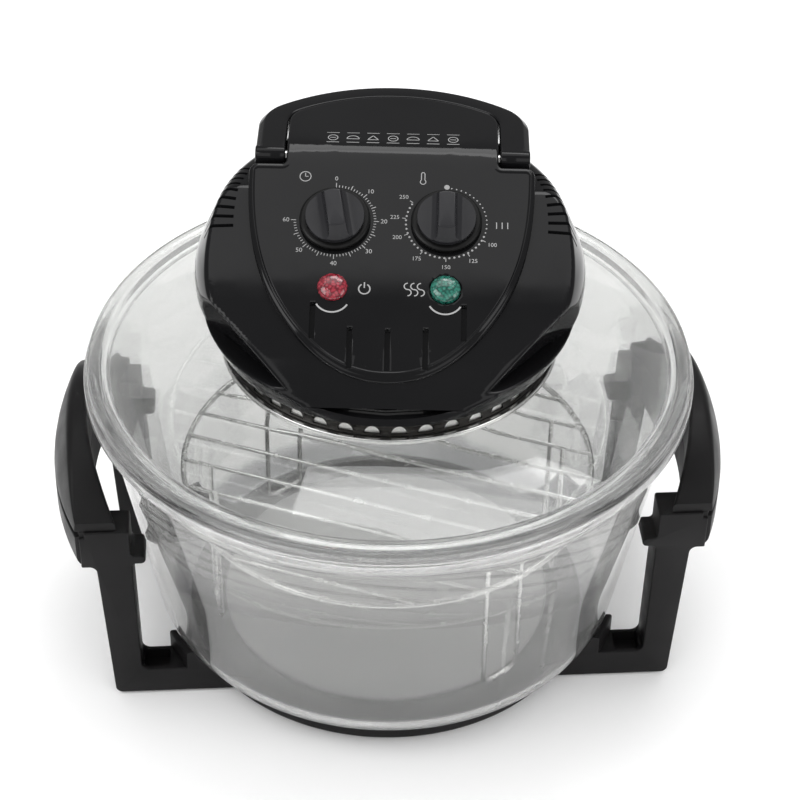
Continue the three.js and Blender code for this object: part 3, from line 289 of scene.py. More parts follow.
# %% Carving, joining and easing
def carve(piece, *tools, how="DIFFERENCE"):
    for tool in tools:
        change = piece.modifiers.new("carve", "BOOLEAN")
        change.operation = how
        change.solver = "EXACT"
        change.object = tool
        only(piece)
        bpy.ops.object.modifier_apply(modifier=change.name)
        bpy.data.objects.remove(tool)
    return piece


def gathered(name, pieces):
    only(pieces[0])
    for piece in pieces:
        piece.select_set(True)
    bpy.ops.object.join()
    return named(name)


def eased(piece, width, segments=3, limit=30):
    """Round every edge that is sharper than the limit."""
    change = piece.modifiers.new("eased", "BEVEL")
    change.width = width
    change.segments = segments
    change.limit_method = "ANGLE"
    change.angle_limit = math.radians(limit)
    only(piece)
    bpy.ops.object.modifier_apply(modifier=change.name)
    return piece


def dressed(piece, material, body, slot, *nodes, smooth=35):
    """Scale to metres, smooth, give the finish, tie the piece to its body and hide the nodes it replaces."""
    piece.data.transform(Matrix.Scale(MM, 4))
    piece.data.materials.clear()
    piece.data.materials.append(material)
    only(piece)
    bpy.ops.object.shade_smooth_by_angle(angle=math.radians(smooth))
    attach(piece, body)
    if nodes:
        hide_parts(*nodes)
    print(piece.name, len(piece.data.polygons), "faces")
    return piece

# %% [markdown]
# ## Finishes
# Each finish is one Principled shader. Noise in object space gives it what the real one shows: handling haze
# on the gloss, a fine moulded grain on the satin, drawn lines on the steel, ripples in the glass.

# %% Finish helpers
LOW_SHARE, HIGH_SHARE = 0.3, 0.7


def added(tree, kind, settings={}):
    """A new node with its sockets set."""
    node = tree.nodes.new(kind)
    for socket, value in settings.items():
        node.inputs[socket].default_value = value
    return node


def finish(name, colour, roughness, metallic=0.0):
    made = bpy.data.materials.new(name)
    made.use_nodes = True
    made.diffuse_color = (*colour, 1)
    shader = made.node_tree.nodes["Principled BSDF"]
    shader.inputs["Base Color"].default_value = (*colour, 1)
    shader.inputs["Roughness"].default_value = roughness
    shader.inputs["Metallic"].default_value = metallic
    return made, made.node_tree, shader


def noise(tree, scale, detail=4.0, stretch=(1, 1, 1)):
    place = added(tree, "ShaderNodeTexCoord")
    mapping = added(tree, "ShaderNodeMapping", {"Scale": stretch})
    pattern = added(tree, "ShaderNodeTexNoise", {"Scale": scale, "Detail": detail})
    tree.links.new(place.outputs["Object"], mapping.inputs["Vector"])
    tree.links.new(mapping.outputs["Vector"], pattern.inputs["Vector"])
    return pattern.outputs["Fac"]


def spread(tree, value, low, high, start=LOW_SHARE, end=HIGH_SHARE):
    reach = {"From Min": start, "From Max": end, "To Min": low, "To Max": high}
    ranged = added(tree, "ShaderNodeMapRange", reach)
    tree.links.new(value, ranged.inputs["Value"])
    return ranged.outputs["Result"]


def tinted(tree, value, *colours):
    ramp = added(tree, "ShaderNodeValToRGB")
    for element, share, colour in zip(ramp.color_ramp.elements, (LOW_SHARE, HIGH_SHARE), colours):
        element.position = share
        element.color = (*colour, 1)
    tree.links.new(value, ramp.inputs["Fac"])
    return ramp.outputs["Color"]


def bumped(tree, shader, height, strength, distance):
    bump = added(tree, "ShaderNodeBump", {"Strength": strength, "Distance": distance})
    tree.links.new(height, bump.inputs["Height"])
    tree.links.new(bump.outputs["Normal"], shader.inputs["Normal"])

# %% [markdown]
# The gloss is only a little wavy. The satin, the rubber and the print have a grain that catches the light.

# %% Plastics
GLOSS_WAVE, GRAIN_DEPTH, LINE_DEPTH = 0.0006, 0.0002, 0.0002


def gloss_plastic(name, dark, light, low=0.09, high=0.2):
    made, tree, shader = finish(name, dark, low)
    tree.links.new(tinted(tree, noise(tree, 14), dark, light), shader.inputs["Base Color"])
    tree.links.new(spread(tree, noise(tree, 38, 6), low, high), shader.inputs["Roughness"])
    bumped(tree, shader, noise(tree, 26, 2), 0.05, GLOSS_WAVE)
    shader.inputs["Specular IOR Level"].default_value = 0.25
    return made


def grained_plastic(name, dark, light, rough=(0.36, 0.5), grain=1400):
    made, tree, shader = finish(name, dark, rough[0])
    tree.links.new(tinted(tree, noise(tree, 20), dark, light), shader.inputs["Base Color"])
    tree.links.new(spread(tree, noise(tree, 60, 5), *rough), shader.inputs["Roughness"])
    bumped(tree, shader, noise(tree, grain, 2), 0.25, GRAIN_DEPTH)
    shader.inputs["Specular IOR Level"].default_value = 0.18
    return made


gloss_black = gloss_plastic("gloss_black", (0.0045, 0.0045, 0.005), (0.0065, 0.0065, 0.007), 0.04, 0.09)
knob_black = gloss_plastic("knob_black", (0.016, 0.016, 0.018), (0.024, 0.024, 0.026), 0.18, 0.28)
dish_black = gloss_plastic("dish_black", (0.002, 0.002, 0.002), (0.003, 0.003, 0.003), 0.3, 0.4)
satin_black = grained_plastic("satin_black", (0.0065, 0.0062, 0.0065), (0.0095, 0.009, 0.0095))
rubber = grained_plastic("rubber", (0.012, 0.012, 0.012), (0.022, 0.022, 0.022), (0.75, 0.9), 700)
white_plastic = grained_plastic("white_plastic", (0.62, 0.61, 0.57), (0.70, 0.69, 0.65))
ceramic = grained_plastic("ceramic", (0.62, 0.58, 0.50), (0.74, 0.70, 0.62), (0.6, 0.8), 500)
print_ink = grained_plastic("print_ink", (0.26, 0.26, 0.26), (0.34, 0.34, 0.34), (0.5, 0.6), 900)

# %% [markdown]
# Bare metal shows only what it mirrors, so its colour is light and its lines are faint. The band is dark.

# %% Metals
def drawn_steel(name, dark, light, rough=(0.16, 0.3), stretch=(1, 1, 30), scale=60):
    made, tree, shader = finish(name, light, rough[0], 1.0)
    lines = noise(tree, scale, 6, stretch)
    tree.links.new(tinted(tree, lines, dark, light), shader.inputs["Base Color"])
    tree.links.new(spread(tree, lines, *rough), shader.inputs["Roughness"])
    bumped(tree, shader, lines, 0.08, LINE_DEPTH)
    return made


steel = drawn_steel("steel", (0.66, 0.66, 0.65), (0.80, 0.80, 0.79))
wire_steel = drawn_steel("wire_steel", (0.74, 0.74, 0.73), (0.86, 0.86, 0.85), (0.2, 0.3), (1, 1, 1), 160)
band_steel = drawn_steel("band_steel", (0.022, 0.021, 0.020), (0.05, 0.048, 0.045), (0.3, 0.45))
gauze_steel = drawn_steel("gauze_steel", (0.72, 0.72, 0.70), (0.86, 0.86, 0.84), (0.4, 0.55), (1, 1, 1), 900)
copper = drawn_steel("copper", (0.36, 0.15, 0.07), (0.55, 0.25, 0.12))

# %% [markdown]
# Clear glass throws shadows that come out too dark, so a fifth of it lets light pass straight. The lamps are
# moulded in small facets, which a Voronoi pattern draws.

# %% Glass and lamps
RIPPLE_DEPTH, FACET_DEPTH, HAZE, STRAIGHT_SHARE = 0.001, 0.0004, 0.006, 0.2


def clear_glass(name, colour, rough, wave, ripple):
    made, tree, shader = finish(name, colour, rough)
    shader.inputs["Transmission Weight"].default_value = 1.0
    shader.inputs["IOR"].default_value = 1.47
    bumped(tree, shader, noise(tree, wave, 1), ripple, RIPPLE_DEPTH)
    tree.links.new(spread(tree, noise(tree, 30, 3), rough, rough + HAZE), shader.inputs["Roughness"])
    return made


glass = clear_glass("glass", (0.91, 0.92, 0.91), 0.0, 9, 0.01)
glass.node_tree.nodes["Principled BSDF"].inputs["Alpha"].default_value = 1 - STRAIGHT_SHARE
quartz = clear_glass("quartz", (0.95, 0.90, 0.82), 0.25, 40, 0.1)


def jewel(name, deep, bright):
    made, tree, shader = finish(name, deep, 0.08)
    place = added(tree, "ShaderNodeTexCoord")
    facets = added(tree, "ShaderNodeTexVoronoi", {"Scale": 620})
    tree.links.new(place.outputs["Object"], facets.inputs["Vector"])
    tree.links.new(tinted(tree, facets.outputs["Distance"], bright, deep), shader.inputs["Base Color"])
    shader.inputs["Coat Weight"].default_value = 0.8
    shader.inputs["Coat Roughness"].default_value = 0.04
    bumped(tree, shader, facets.outputs["Distance"], 0.5, FACET_DEPTH)
    return made


red_jewel = jewel("red_jewel", (0.10, 0.004, 0.010), (0.28, 0.025, 0.04))
green_jewel = jewel("green_jewel", (0.004, 0.05, 0.036), (0.02, 0.15, 0.11))
print("finishes:", len(bpy.data.materials))

# %% [markdown]
# ## Glass and steel
# The bowl is one lathe outline, from the middle of the floor out, up, over the rim and back, and the lid is
# another. The press left a pebbled disc in the bowl's floor. Round it the finish paints a grey ring of shade,
# where the stand's black ring lies under the glass. Both are drawn from the distance to the axis in metres;
# the disc is drawn this way because relief so fine would cost too many faces.

# %% Pressed floor of the bowl
# The second grey is painted shade, for the ring round the disc over the stand's black ring.
CLEAR, SHADE_RING_GREY = (0.915, 0.915, 0.905), (0.40, 0.40, 0.41)
DISC_EDGE, DISC_SOFT, DISC_ROUGH, DISC_CLEAR_SHARE = 0.098, 0.0006, 0.05, 0.5
RING_SOFT, SHADE_RING_EDGE, SHADE_RING_SOFT, PRESS_TOP, PRESS_SOFT = 0.0015, 0.128, 0.006, 0.024, 0.004


def product(tree, first, second):
    both = added(tree, "ShaderNodeMath")
    both.operation = "MULTIPLY"
    tree.links.new(first, both.inputs[0])
    tree.links.new(second, both.inputs[1])
    return both.outputs["Value"]


def pressed_glass(name):
    """The clear glass again, with a pebbled disc in the floor and a painted grey ring of shade round it."""
    made = glass.copy()
    made.name = name
    tree = made.node_tree
    shader = tree.nodes["Principled BSDF"]
    place = added(tree, "ShaderNodeTexCoord")
    parts = added(tree, "ShaderNodeSeparateXYZ")
    flat = added(tree, "ShaderNodeCombineXYZ")
    length = added(tree, "ShaderNodeVectorMath")
    length.operation = "LENGTH"
    tree.links.new(place.outputs["Object"], parts.inputs["Vector"])
    for axis in "XY":
        tree.links.new(parts.outputs[axis], flat.inputs[axis])
    tree.links.new(flat.outputs["Vector"], length.inputs[0])
    radius = length.outputs["Value"]
    low = spread(tree, parts.outputs["Z"], 1, 0, PRESS_TOP, PRESS_TOP + PRESS_SOFT)
    disc = product(tree, spread(tree, radius, 1, 0, DISC_EDGE - DISC_SOFT, DISC_EDGE + DISC_SOFT), low)
    tree.links.new(spread(tree, disc, 0, DISC_ROUGH, 0, 1), shader.inputs["Roughness"])
    tree.links.new(spread(tree, disc, 1, DISC_CLEAR_SHARE, 0, 1), shader.inputs["Transmission Weight"])
    # The grey ring is painted shade: it darkens the glass where the stand's black ring lies below.
    beyond = product(tree, spread(tree, radius, 0, 1, DISC_EDGE, DISC_EDGE + RING_SOFT), low)
    inside_shade_ring = spread(tree, radius, 1, 0, SHADE_RING_EDGE, SHADE_RING_EDGE + SHADE_RING_SOFT)
    shade_ring_mix = added(tree, "ShaderNodeMix")
    shade_ring_mix.data_type = "RGBA"
    shade_ring_mix.inputs["A"].default_value = (*CLEAR, 1)
    shade_ring_mix.inputs["B"].default_value = (*SHADE_RING_GREY, 1)
    tree.links.new(product(tree, beyond, inside_shade_ring), shade_ring_mix.inputs["Factor"])
    tree.links.new(shade_ring_mix.outputs["Result"], shader.inputs["Base Color"])
    return made


# The bowl's grey ring is painted shade, over the stand's black ring.
bowl_glass = pressed_glass("bowl_glass")
print("shade_painted ring out to", SHADE_RING_EDGE, "m")

# %% The bowl
FLOOR_Z, FLOOR_RADIUS, CORNER_RADIUS, WALL = 9.8, 108.0, 32.0, 4.5
RIM = ((162.0, 166.0, 22.0), (168.0, 176.2, 5.0), (172.0, 178.4, 1.8), (172.0, 186.0, 2.4),
       (162.0, 186.0, 2.6), (162.0, 177.5, 7.0), (157.5, 166.0, 22.0))
WALL_TOP = RIM[0][:2]
CORNER = (FLOOR_RADIUS, FLOOR_Z + CORNER_RADIUS)
wall_run = Vector(WALL_TOP) - Vector(CORNER)
WALL_ANGLE = math.acos(CORNER_RADIUS / wall_run.length) - math.atan2(wall_run.y, wall_run.x)

outer = arc(CORNER_RADIUS, -math.pi / 2, -WALL_ANGLE, 16, CORNER)
inner = arc(CORNER_RADIUS - WALL, -WALL_ANGLE, -math.pi / 2, 16, CORNER)
rim = rounded([outer[-1], *RIM, inner[0]], steps=6)
outline = [(0, FLOOR_Z), *outer[:-1], *rim, *inner[1:], (0, FLOOR_Z + WALL)]
dressed(turned("cooking_bowl", outline, 192), bowl_glass, "bowl", "glass", "glass_bowl", smooth=40)


def bowl_wall_at(height):
    (foot, low), (top, high) = outer[-1], WALL_TOP
    return foot + (top - foot) * (height - low) / (high - low)


# %% The lid
LID_WALL, UNDER_SHIFT, DOME_END = 4.2, 1.6, 158.5
LID_EDGE = ((160.6, 191.5, 1.5), (163.0, LID_TOP, 2.0), (170.0, LID_TOP, 2.2), (170.0, LID_BOTTOM, 2.2),
            (160.5, LID_BOTTOM, 0.8), (160.5, 182.3, 1.2), (156.6, 182.3, 1.2))


def dome(radius):
    return DOME_FOOT + DOME_RISE * (1 - (radius / DOME_RADIUS) ** 2)


over_top = []
for share in [i / 10 for i in range(11)]:
    radius = OPENING + (DOME_END - OPENING) * share
    over_top.append((radius, dome(radius)))
under = [(radius - UNDER_SHIFT, height - LID_WALL) for radius, height in reversed(over_top)]
edge = rounded([over_top[-1], *LID_EDGE, under[0]])
lid = turned("lid_glass", [*over_top[:-1], *edge, *under[1:-1], (OPENING, under[-1][1])], steps=192)
dressed(lid, glass, "lid_and_head", "glass", "glass_lid", smooth=40)

# %% [markdown]
# The steel ring clamps the head to the lid. The vent band above it is a sheet hoop with half-oval holes,
# punched one by one. A hoop of bright gauze stands behind them, as the holes look light.

# %% Clamp ring and vent band
CLAMP_OUTER, COLLAR_OUTER, COLLAR_WALL, COLLAR_DROP = 94.5, 85.7, 1.2, 9.0
CLAMP_INNER, CLAMP_TOP = COLLAR_OUTER - COLLAR_WALL, CLAMP_Z + CLAMP_THICK
COLLAR_LOW = CLAMP_Z - COLLAR_DROP
CLAMP = ((CLAMP_INNER, COLLAR_LOW), (COLLAR_OUTER, COLLAR_LOW), (COLLAR_OUTER, CLAMP_Z, 0.4),
         (CLAMP_OUTER, CLAMP_Z, 0.8), (CLAMP_OUTER, CLAMP_TOP, 1.1), (CLAMP_INNER, CLAMP_TOP, 1.0))
dressed(turned("steel_ring", rounded(CLAMP), 160), steel, "lid_and_head", "steel", "clamp_ring")

BAND_RADIUS, BAND_WALL, BAND_ROUND, BAND_TOP = 91.5, 1.0, 0.3, BASE_Z - GAP
GAUZE_OUTER, GAUZE_INNER, GAUZE_ROUND = 90.4, 90.1, 0.1
VENT_COUNT, VENT_HALF, VENT_RISE, VENT_REACH, VENT_FOOT = 40, 4.2, 5.2, 3.0, 1.4
VENT_Z = BAND_Z + VENT_FOOT


def hoop(name, inside, outside, ease, steps):
    """A hoop as high as the band."""
    floor, roof = BAND_Z, BAND_TOP
    corners = [(inside, floor, ease), (outside, floor, ease), (outside, roof, ease), (inside, roof, ease)]
    return turned(name, rounded(corners, steps), 160)


band = hoop("vent_ring", BAND_RADIUS - BAND_WALL, BAND_RADIUS, BAND_ROUND, 2)
vents = []
for i in range(VENT_COUNT):
    around = 2 * math.pi * (i + 0.5) / VENT_COUNT
    angles = np.linspace(0, math.pi, 13)
    half_oval = [(VENT_HALF * math.cos(a), VENT_Z + VENT_RISE * math.sin(a)) for a in angles]
    hole = slab("vent", half_oval, BAND_RADIUS - VENT_REACH, BAND_RADIUS + VENT_REACH, "X")
    vents.append(spun(hole, around))
carve(band, gathered("vents", vents))
gauze = hoop("vent_gauze", GAUZE_INNER, GAUZE_OUTER, GAUZE_ROUND, 1)
dressed(band, band_steel, "lid_and_head", "dark_steel", "vent_band")
dressed(gauze, gauze_steel, "lid_and_head", "steel")

# %% [markdown]
# ## The head
# The cover is one moulding: a bellied drum, a raised hood at the back, a console that slopes down into a long
# round nose, and two flat wings that leave a crescent ledge. One formula holds all of it. It says how far a
# point lies outside the form. The skin is where that is nought, found on rays from the middle of the floor.

# %% The form of the cover
BELLY_RADIUS, BELLY_Z, BELLY_SWELL = 107.0, 247.0, 6.5
SHOULDER_RADIUS, SHOULDER_Z, LEDGE_RADIUS, LEDGE_ROUND, LEDGE_EASE = 103.7, 262.0, 94.5, 7.0, 4.0
HOOD_HALF, HOOD_REAR, HOOD_CORNER, SHOULDER_Y = 58.0, 94.0, 14.0, 29.0
SHIELD_HALF, SHIELD_TAIL, REAR_POWER, SIDE_POWER = 78.0, 82.0, 2.4, 2.2
WING_DEPTH, WING_RISE, WING_TILT, WING_AROUND = 94.0, 7.0, math.radians(19), math.radians(52)
WING_Z = COVER_Z + WING_RISE
CREASE_SOFT, NOSE_SOFT, WING_SOFT = 4.0, 1.5, 1.6
RAY_NEAR, RAY_FAR, HALVINGS, COLUMNS = 5.0, 200.0, 36, 480


def soft_max(a, b, k):
    share = np.clip(0.5 + 0.5 * (a - b) / k, 0, 1)
    return b + (a - b) * share + k * share * (1 - share)


def nose_centre(depth, radius):
    """The axis of the round nose, for a skin that lies so deep under the console."""
    reach = depth + radius
    return BROW_Y + reach * math.sin(SLOPE), BROW_Z - reach * math.cos(SLOPE)


def console_out(y, z, depth, radius):
    """How far a point lies above the console: its flat top, its slope and the round nose."""
    centre_y, centre_z = nose_centre(depth, radius)
    along = (y - centre_y) * math.cos(SLOPE) + (z - centre_z) * math.sin(SLOPE)
    slope = (z - centre_z) * math.cos(SLOPE) - (y - centre_y) * math.sin(SLOPE) - radius
    nose = np.hypot(y - centre_y, z - centre_z) - radius
    return soft_max(np.where(along > 0, slope, nose), z - (TOP_Z - depth), CREASE_SOFT)


def drum_out(rho, z):
    """How far a point lies outside the drum, which is round in the belly and straight over the shoulder."""
    low = BELLY_SWELL / (BELLY_Z - LIP_TOP) ** 2
    high = (BELLY_RADIUS - SHOULDER_RADIUS) / (SHOULDER_Z - BELLY_Z) ** 2
    belly = BELLY_RADIUS - np.where(z < BELLY_Z, low, high) * (z - BELLY_Z) ** 2
    lean = (SHOULDER_RADIUS - LEDGE_RADIUS) / (LEDGE_Z - LEDGE_EASE - SHOULDER_Z)
    side = np.where(z < SHOULDER_Z, belly, SHOULDER_RADIUS - lean * (z - SHOULDER_Z))
    return soft_max(rho - side, z - LEDGE_Z, LEDGE_ROUND)


def wings_out(x, y, z):
    nearest = np.abs(x) * math.sin(WING_AROUND) - y * math.cos(WING_AROUND)
    plane = (nearest - WING_DEPTH - (z - WING_Z) * math.tan(WING_TILT)) * math.cos(WING_TILT)
    return np.minimum(plane, z - WING_Z)


def cover_out(x, y, z):
    body = drum_out(np.hypot(x, y), z)
    body = soft_max(body, console_out(y, z, SKIN, BODY_NOSE_RADIUS), NOSE_SOFT)
    return soft_max(body, wings_out(x, y, z), WING_SOFT)


def rays(name, elevations, inset):
    """The cover's skin. Every ray from the middle of its floor leaves it once."""
    table = np.array(elevations)

    def place(u, v):
        around = u * 2 * math.pi
        rise = np.interp(v, np.linspace(0, 1, len(table)), table)
        way = np.cos(rise) * np.cos(around), np.cos(rise) * np.sin(around), np.sin(rise)
        low, high = np.full_like(u, RAY_NEAR), np.full_like(u, RAY_FAR)
        for _ in range(HALVINGS):
            middle = (low + high) / 2
            outside = cover_out(way[0] * middle, way[1] * middle, COVER_Z + way[2] * middle) > -inset
            low, high = np.where(outside, low, middle), np.where(outside, middle, high)
        return way[0] * low, way[1] * low, COVER_Z + way[2] * low

    return formed(name, COLUMNS, len(table) - 1, place)


# %% Cover, outside and inside
def degrees(*spans):
    """Rising angles: each span is a start, an end and a count."""
    angles = [a for start, end, count in spans for a in np.linspace(start, end, count, endpoint=False)]
    return [math.radians(a) for a in [*angles, 90.0]]


OUTSIDE_RISES = degrees((0, 3.6, 6), (3.6, 4.6, 14), (4.6, 28, 46), (28, 46, 44), (46, 90, 14))
INSIDE_RISES = degrees((0, 3.6, 3), (3.6, 40, 14), (40, 90, 8))
shells = [rays("cover_outside", OUTSIDE_RISES, 0), rays("cover_inside", INSIDE_RISES, SKIN)]
cover = closed(gathered("head_shell", shells), bpy.ops.mesh.bridge_edge_loops)
print("cover:", len(cover.data.polygons), "faces")

# %% [markdown]
# The hood and the console have one outline: an arch at the back, two shoulders, and a shield that draws in
# to a tail. The same outline, drawn in a little at a time, gives the raised bead along its edge.

# %% Outline of the fascia
BACK_SHARES = (0.12, 0.3, 0.5, 0.7, 0.9)
SIDE_START, SIDE_STEPS, SHOULDER_ROUND, ARMPIT_ROUND = 0.07, 60, 5.0, 3.0


def arched(half, rear, corner, foot, shares, steps):
    """Half of an arch in plan, from its foot round the corner to the middle of the back."""
    x = half - corner
    y = math.sqrt((rear - corner) ** 2 - x ** 2)
    around = math.atan2(y, x)
    leg = [(half, foot + (y - foot) * share) for share in shares]
    bend = arc(corner, 0, around, steps, (x, y))
    return leg + bend + arc(rear, around, math.pi / 2, steps + 8)[1:]


def fascia_outline():
    back = arched(HOOD_HALF, HOOD_REAR, HOOD_CORNER, SHOULDER_Y, BACK_SHARES, 12)
    side = []
    for angle in np.linspace(math.pi / 2, SIDE_START, SIDE_STEPS):
        down, out = math.sin(angle) ** (2 / REAR_POWER), math.cos(angle) ** (2 / SIDE_POWER)
        side.append((SHIELD_HALF * out, SHOULDER_Y - (SHOULDER_Y + SHIELD_TAIL) * down))
    turn_out, turn_in = (SHIELD_HALF, SHOULDER_Y, SHOULDER_ROUND), (HOOD_HALF, SHOULDER_Y, ARMPIT_ROUND)
    shoulder = rounded([side[-1], turn_out, turn_in, back[0]], 8)[1:-1]
    half = [*side, *shoulder, *back]
    mirrored = [(-px, py) for px, py in reversed(half[1:-1])]
    return np.array(half + mirrored)


def drawn_in(outline, inset):
    """Move every corner of an outline inwards by the same distance."""
    after = np.roll(outline, -1, axis=0) - outline
    before = outline - np.roll(outline, 1, axis=0)
    way = after / np.linalg.norm(after, axis=1, keepdims=True)
    way = way + before / np.linalg.norm(before, axis=1, keepdims=True)
    way /= np.linalg.norm(way, axis=1, keepdims=True)
    return outline + inset * np.stack((-way[:, 1], way[:, 0]), axis=1)


def console_height(y, depth, radius):
    centre_y, centre_z = nose_centre(depth, radius)
    crease = CREASE_Y + depth * math.tan(SLOPE / 2)
    plane = TOP_Z - depth - (crease - y) * math.tan(SLOPE)
    nose = centre_z + np.sqrt(np.maximum(radius ** 2 - (y - centre_y) ** 2, 0))
    slope = np.where(y < centre_y - radius * math.sin(SLOPE), nose, plane)
    return -soft_max(-slope, np.full_like(slope, depth - TOP_Z), CREASE_SOFT)


OUTLINE = fascia_outline()
EDGE, BEAD_AT, BEAD_HALF, BEAD_RISE, BEAD_START, BEAD_FADE = 1.1, 2.3, 1.3, 0.9, 2.0, 8.0
BEAD_SHARE = np.clip((SHOULDER_Y + BEAD_START - OUTLINE[:, 1]) / BEAD_FADE, 0, 1)


def fascia_ring(inset, share=1.0, depth=0.0, radius=NOSE_RADIUS, drop=0.0, bead=0.0):
    ring = drawn_in(OUTLINE, inset) * share
    height = console_height(ring[:, 1], depth, radius) - drop + bead * BEAD_SHARE
    return np.column_stack((ring, height))


# %% Fascia: underside, edge, bead and face
UNDER, UNDER_RADIUS = SKIN - GAP, BODY_NOSE_RADIUS + GAP
EDGE_INSETS = (0, 0.08, 0.25, 0.55, EDGE)
BEAD_INSETS = (1.4, 1.7, 2.0, 2.3, 2.6, 2.9, 3.2, 3.6)
FACE_INSET, FACE_SHARES = BEAD_INSETS[-1], (0.995, 0.985, 0.97, *np.linspace(0.95, 0, 46))
rings = [fascia_ring(FACE_INSET, share, UNDER, UNDER_RADIUS) for share in np.linspace(0, 1, 16)]
rings.append(fascia_ring(0, 1, UNDER, UNDER_RADIUS))
for inset in EDGE_INSETS:
    rings.append(fascia_ring(inset, drop=EDGE - math.sqrt(EDGE ** 2 - (EDGE - inset) ** 2)))
for inset in BEAD_INSETS:
    swell_share = (1 + math.cos(math.pi * (inset - BEAD_AT) / BEAD_HALF)) / 2
    rings.append(fascia_ring(inset, bead=BEAD_RISE * swell_share))
for share in FACE_SHARES:
    rings.append(fascia_ring(FACE_INSET, share))
fascia = fan_of("console_skin", rings)
print("fascia:", len(rings), "rings")

# %% Hood on the cover
CORE_LOW, CORE_LEAST, CORE_INSET = 272.0, 1.0, 3.0


def core_ring(inset, share=1.0, low=None):
    ring = drawn_in(OUTLINE, inset) * share
    top = console_height(ring[:, 1], SKIN, BODY_NOSE_RADIUS)
    return np.column_stack((ring, top if low is None else np.minimum(top - CORE_LEAST, low)))


rings = [core_ring(0, share, CORE_LOW) for share in (0, 0.5, 1)] + [core_ring(0)]
rings += [core_ring(CORE_INSET, share) for share in np.linspace(1, 0, 16)]
carve(cover, fan_of("core", rings), how="UNION")
print("cover with its hood:", len(cover.data.polygons), "faces")

# %% [markdown]
# The fascia is bored for the knobs' shafts and the lamps, and five slots run up its tail. The cover under it
# has its own bores, nine louvres on each side and a slit in each wing.

# %% Holes, slots and louvres
def on_panel(piece, x, down):
    """Carry a piece from the ground to its place on the console, square to it."""
    place = Matrix.Translation((x, CREASE_Y - down * math.cos(SLOPE), TOP_Z - down * math.sin(SLOPE)))
    return moved_by(piece, place @ Matrix.Rotation(SLOPE, 4, "X"))


def rod(name, radius, low, high, steps=48):
    return slab(name, arc(radius, 0, 2 * math.pi, steps)[:-1], low, high)


def bored(side, bores):
    """Rods through one side of the console. Each has a radius, a lower end and a place down the slope."""
    return [on_panel(rod("bore", radius, low, BORE_TOP), side * KNOB_X, down) for radius, low, down in bores]


KNOB_X, KNOB_DOWN, LAMP_DOWN = 30.0, 46.0, 87.0
SHAFT_RADIUS, SHAFT_HOLE, LENS_RADIUS, LENS_HOLE, LENS_BORE, BORE_TOP = 3.0, 3.6, 8.0, 8.9, 5.28, 10.0
FASCIA_BORES = ((SHAFT_HOLE, -30, KNOB_DOWN), (LENS_HOLE, -2.2, LAMP_DOWN), (LENS_BORE, -30, LAMP_DOWN))
COVER_BORES = ((SHAFT_HOLE, -40, KNOB_DOWN), (6.8, -40, LAMP_DOWN))
SLOT_HALF, SLOT_LONG, SLOT_PITCH, SLOT_CLEAR, TAIL_CLEAR, TAIL_REACH = 1.5, 18.0, 20.0, 0.5, 3.0, 6.0
CUT_LOW, CUT_HIGH = 200.0, 320.0
holes = bored(-1, FASCIA_BORES) + bored(1, FASCIA_BORES)
for n in range(-2, 3):
    x = SLOT_PITCH * n
    tail = OUTLINE[(OUTLINE[:, 1] < 0) & (np.abs(OUTLINE[:, 0] - x) < TAIL_REACH), 1].max()
    low = max(tail, TAIL_CLEAR - SHIELD_TAIL) + SLOT_CLEAR
    left, right, high = x - SLOT_HALF, x + SLOT_HALF, low + SLOT_LONG
    holes.append(slab("slot", [(left, low), (right, low), (right, high), (left, high)], CUT_LOW, CUT_HIGH))
carve(fascia, gathered("holes", holes))

LOUVRES, LOUVRE_PITCH, LOUVRE_START = 9, math.radians(3.4), math.radians(-3)
LOUVRE_HALF, LOUVRE_NEAR, LOUVRE_FAR, LOUVRE_DROP, LOUVRE_RISE = 0.9, 85.0, 112.0, 19.0, 4.0
SLIT_HALF, SLIT_NEAR, SLIT_FAR, SLIT_TALL = 22.0, 88.0, 98.0, 3.5
cuts = []
for side in (-1, 1):
    cuts += bored(side, COVER_BORES)
    for i in range(LOUVRES):
        louvre = box("louvre", sorted((side * LOUVRE_NEAR, side * LOUVRE_FAR)), (-LOUVRE_HALF, LOUVRE_HALF),
                     (LEDGE_Z - LOUVRE_DROP, LEDGE_Z + LOUVRE_RISE))
        cuts.append(spun(louvre, side * (i * LOUVRE_PITCH + LOUVRE_START)))
    slit = box("slit", (-SLIT_HALF, SLIT_HALF), (-SLIT_FAR, -SLIT_NEAR), (WING_Z, WING_Z + SLIT_TALL))
    cuts.append(spun(slit, side * WING_AROUND))
carve(cover, gathered("cuts", cuts))
FASCIA_EASE, LIP_EASE = 0.35, 0.3
eased(fascia, FASCIA_EASE, 2, 50)
dressed(fascia, gloss_black, "lid_and_head", "gloss_black", "console_fascia", smooth=40)
dressed(cover, gloss_black, "lid_and_head", "gloss_black", "head_cover", smooth=32)

# %% Lip under the cover
CUT_REACH, CUT_BELOW, CUT_SIDE, FLOOR_SKIN = 110.0, 150.0, 120.0, 2.5
FLOOR_TOP = BASE_Z + FLOOR_SKIN
LIP = ((42.0, BASE_Z, 0.5), (97.0, BASE_Z, 1.4), (100.5, LIP_TOP, 0.7),
       (97.5, LIP_TOP, 0.5), (94.0, FLOOR_TOP, 1.0), (42.0, FLOOR_TOP, 0.5))
lip = turned("head_lip", rounded(LIP), steps=160)
reach = np.linspace(-CUT_REACH, CUT_REACH, 61)
roof = list(zip(reach, console_height(reach, SKIN, BODY_NOSE_RADIUS)))
below = [(-CUT_REACH, CUT_BELOW), *roof, (CUT_REACH, CUT_BELOW)]
carve(lip, slab("under_nose", below, -CUT_SIDE, CUT_SIDE, "X"), how="INTERSECT")
dressed(eased(lip, LIP_EASE, 2, 40), gloss_black, "lid_and_head", "gloss_black", "head_base", smooth=35)

# %% [markdown]
# ## Knobs and lamps
# A knob is a dark dish with a lighter, tall bar across it. The bar flares at its foot and is hollowed on both
# sides. The lamps are low domes, cut in facets by their finish.

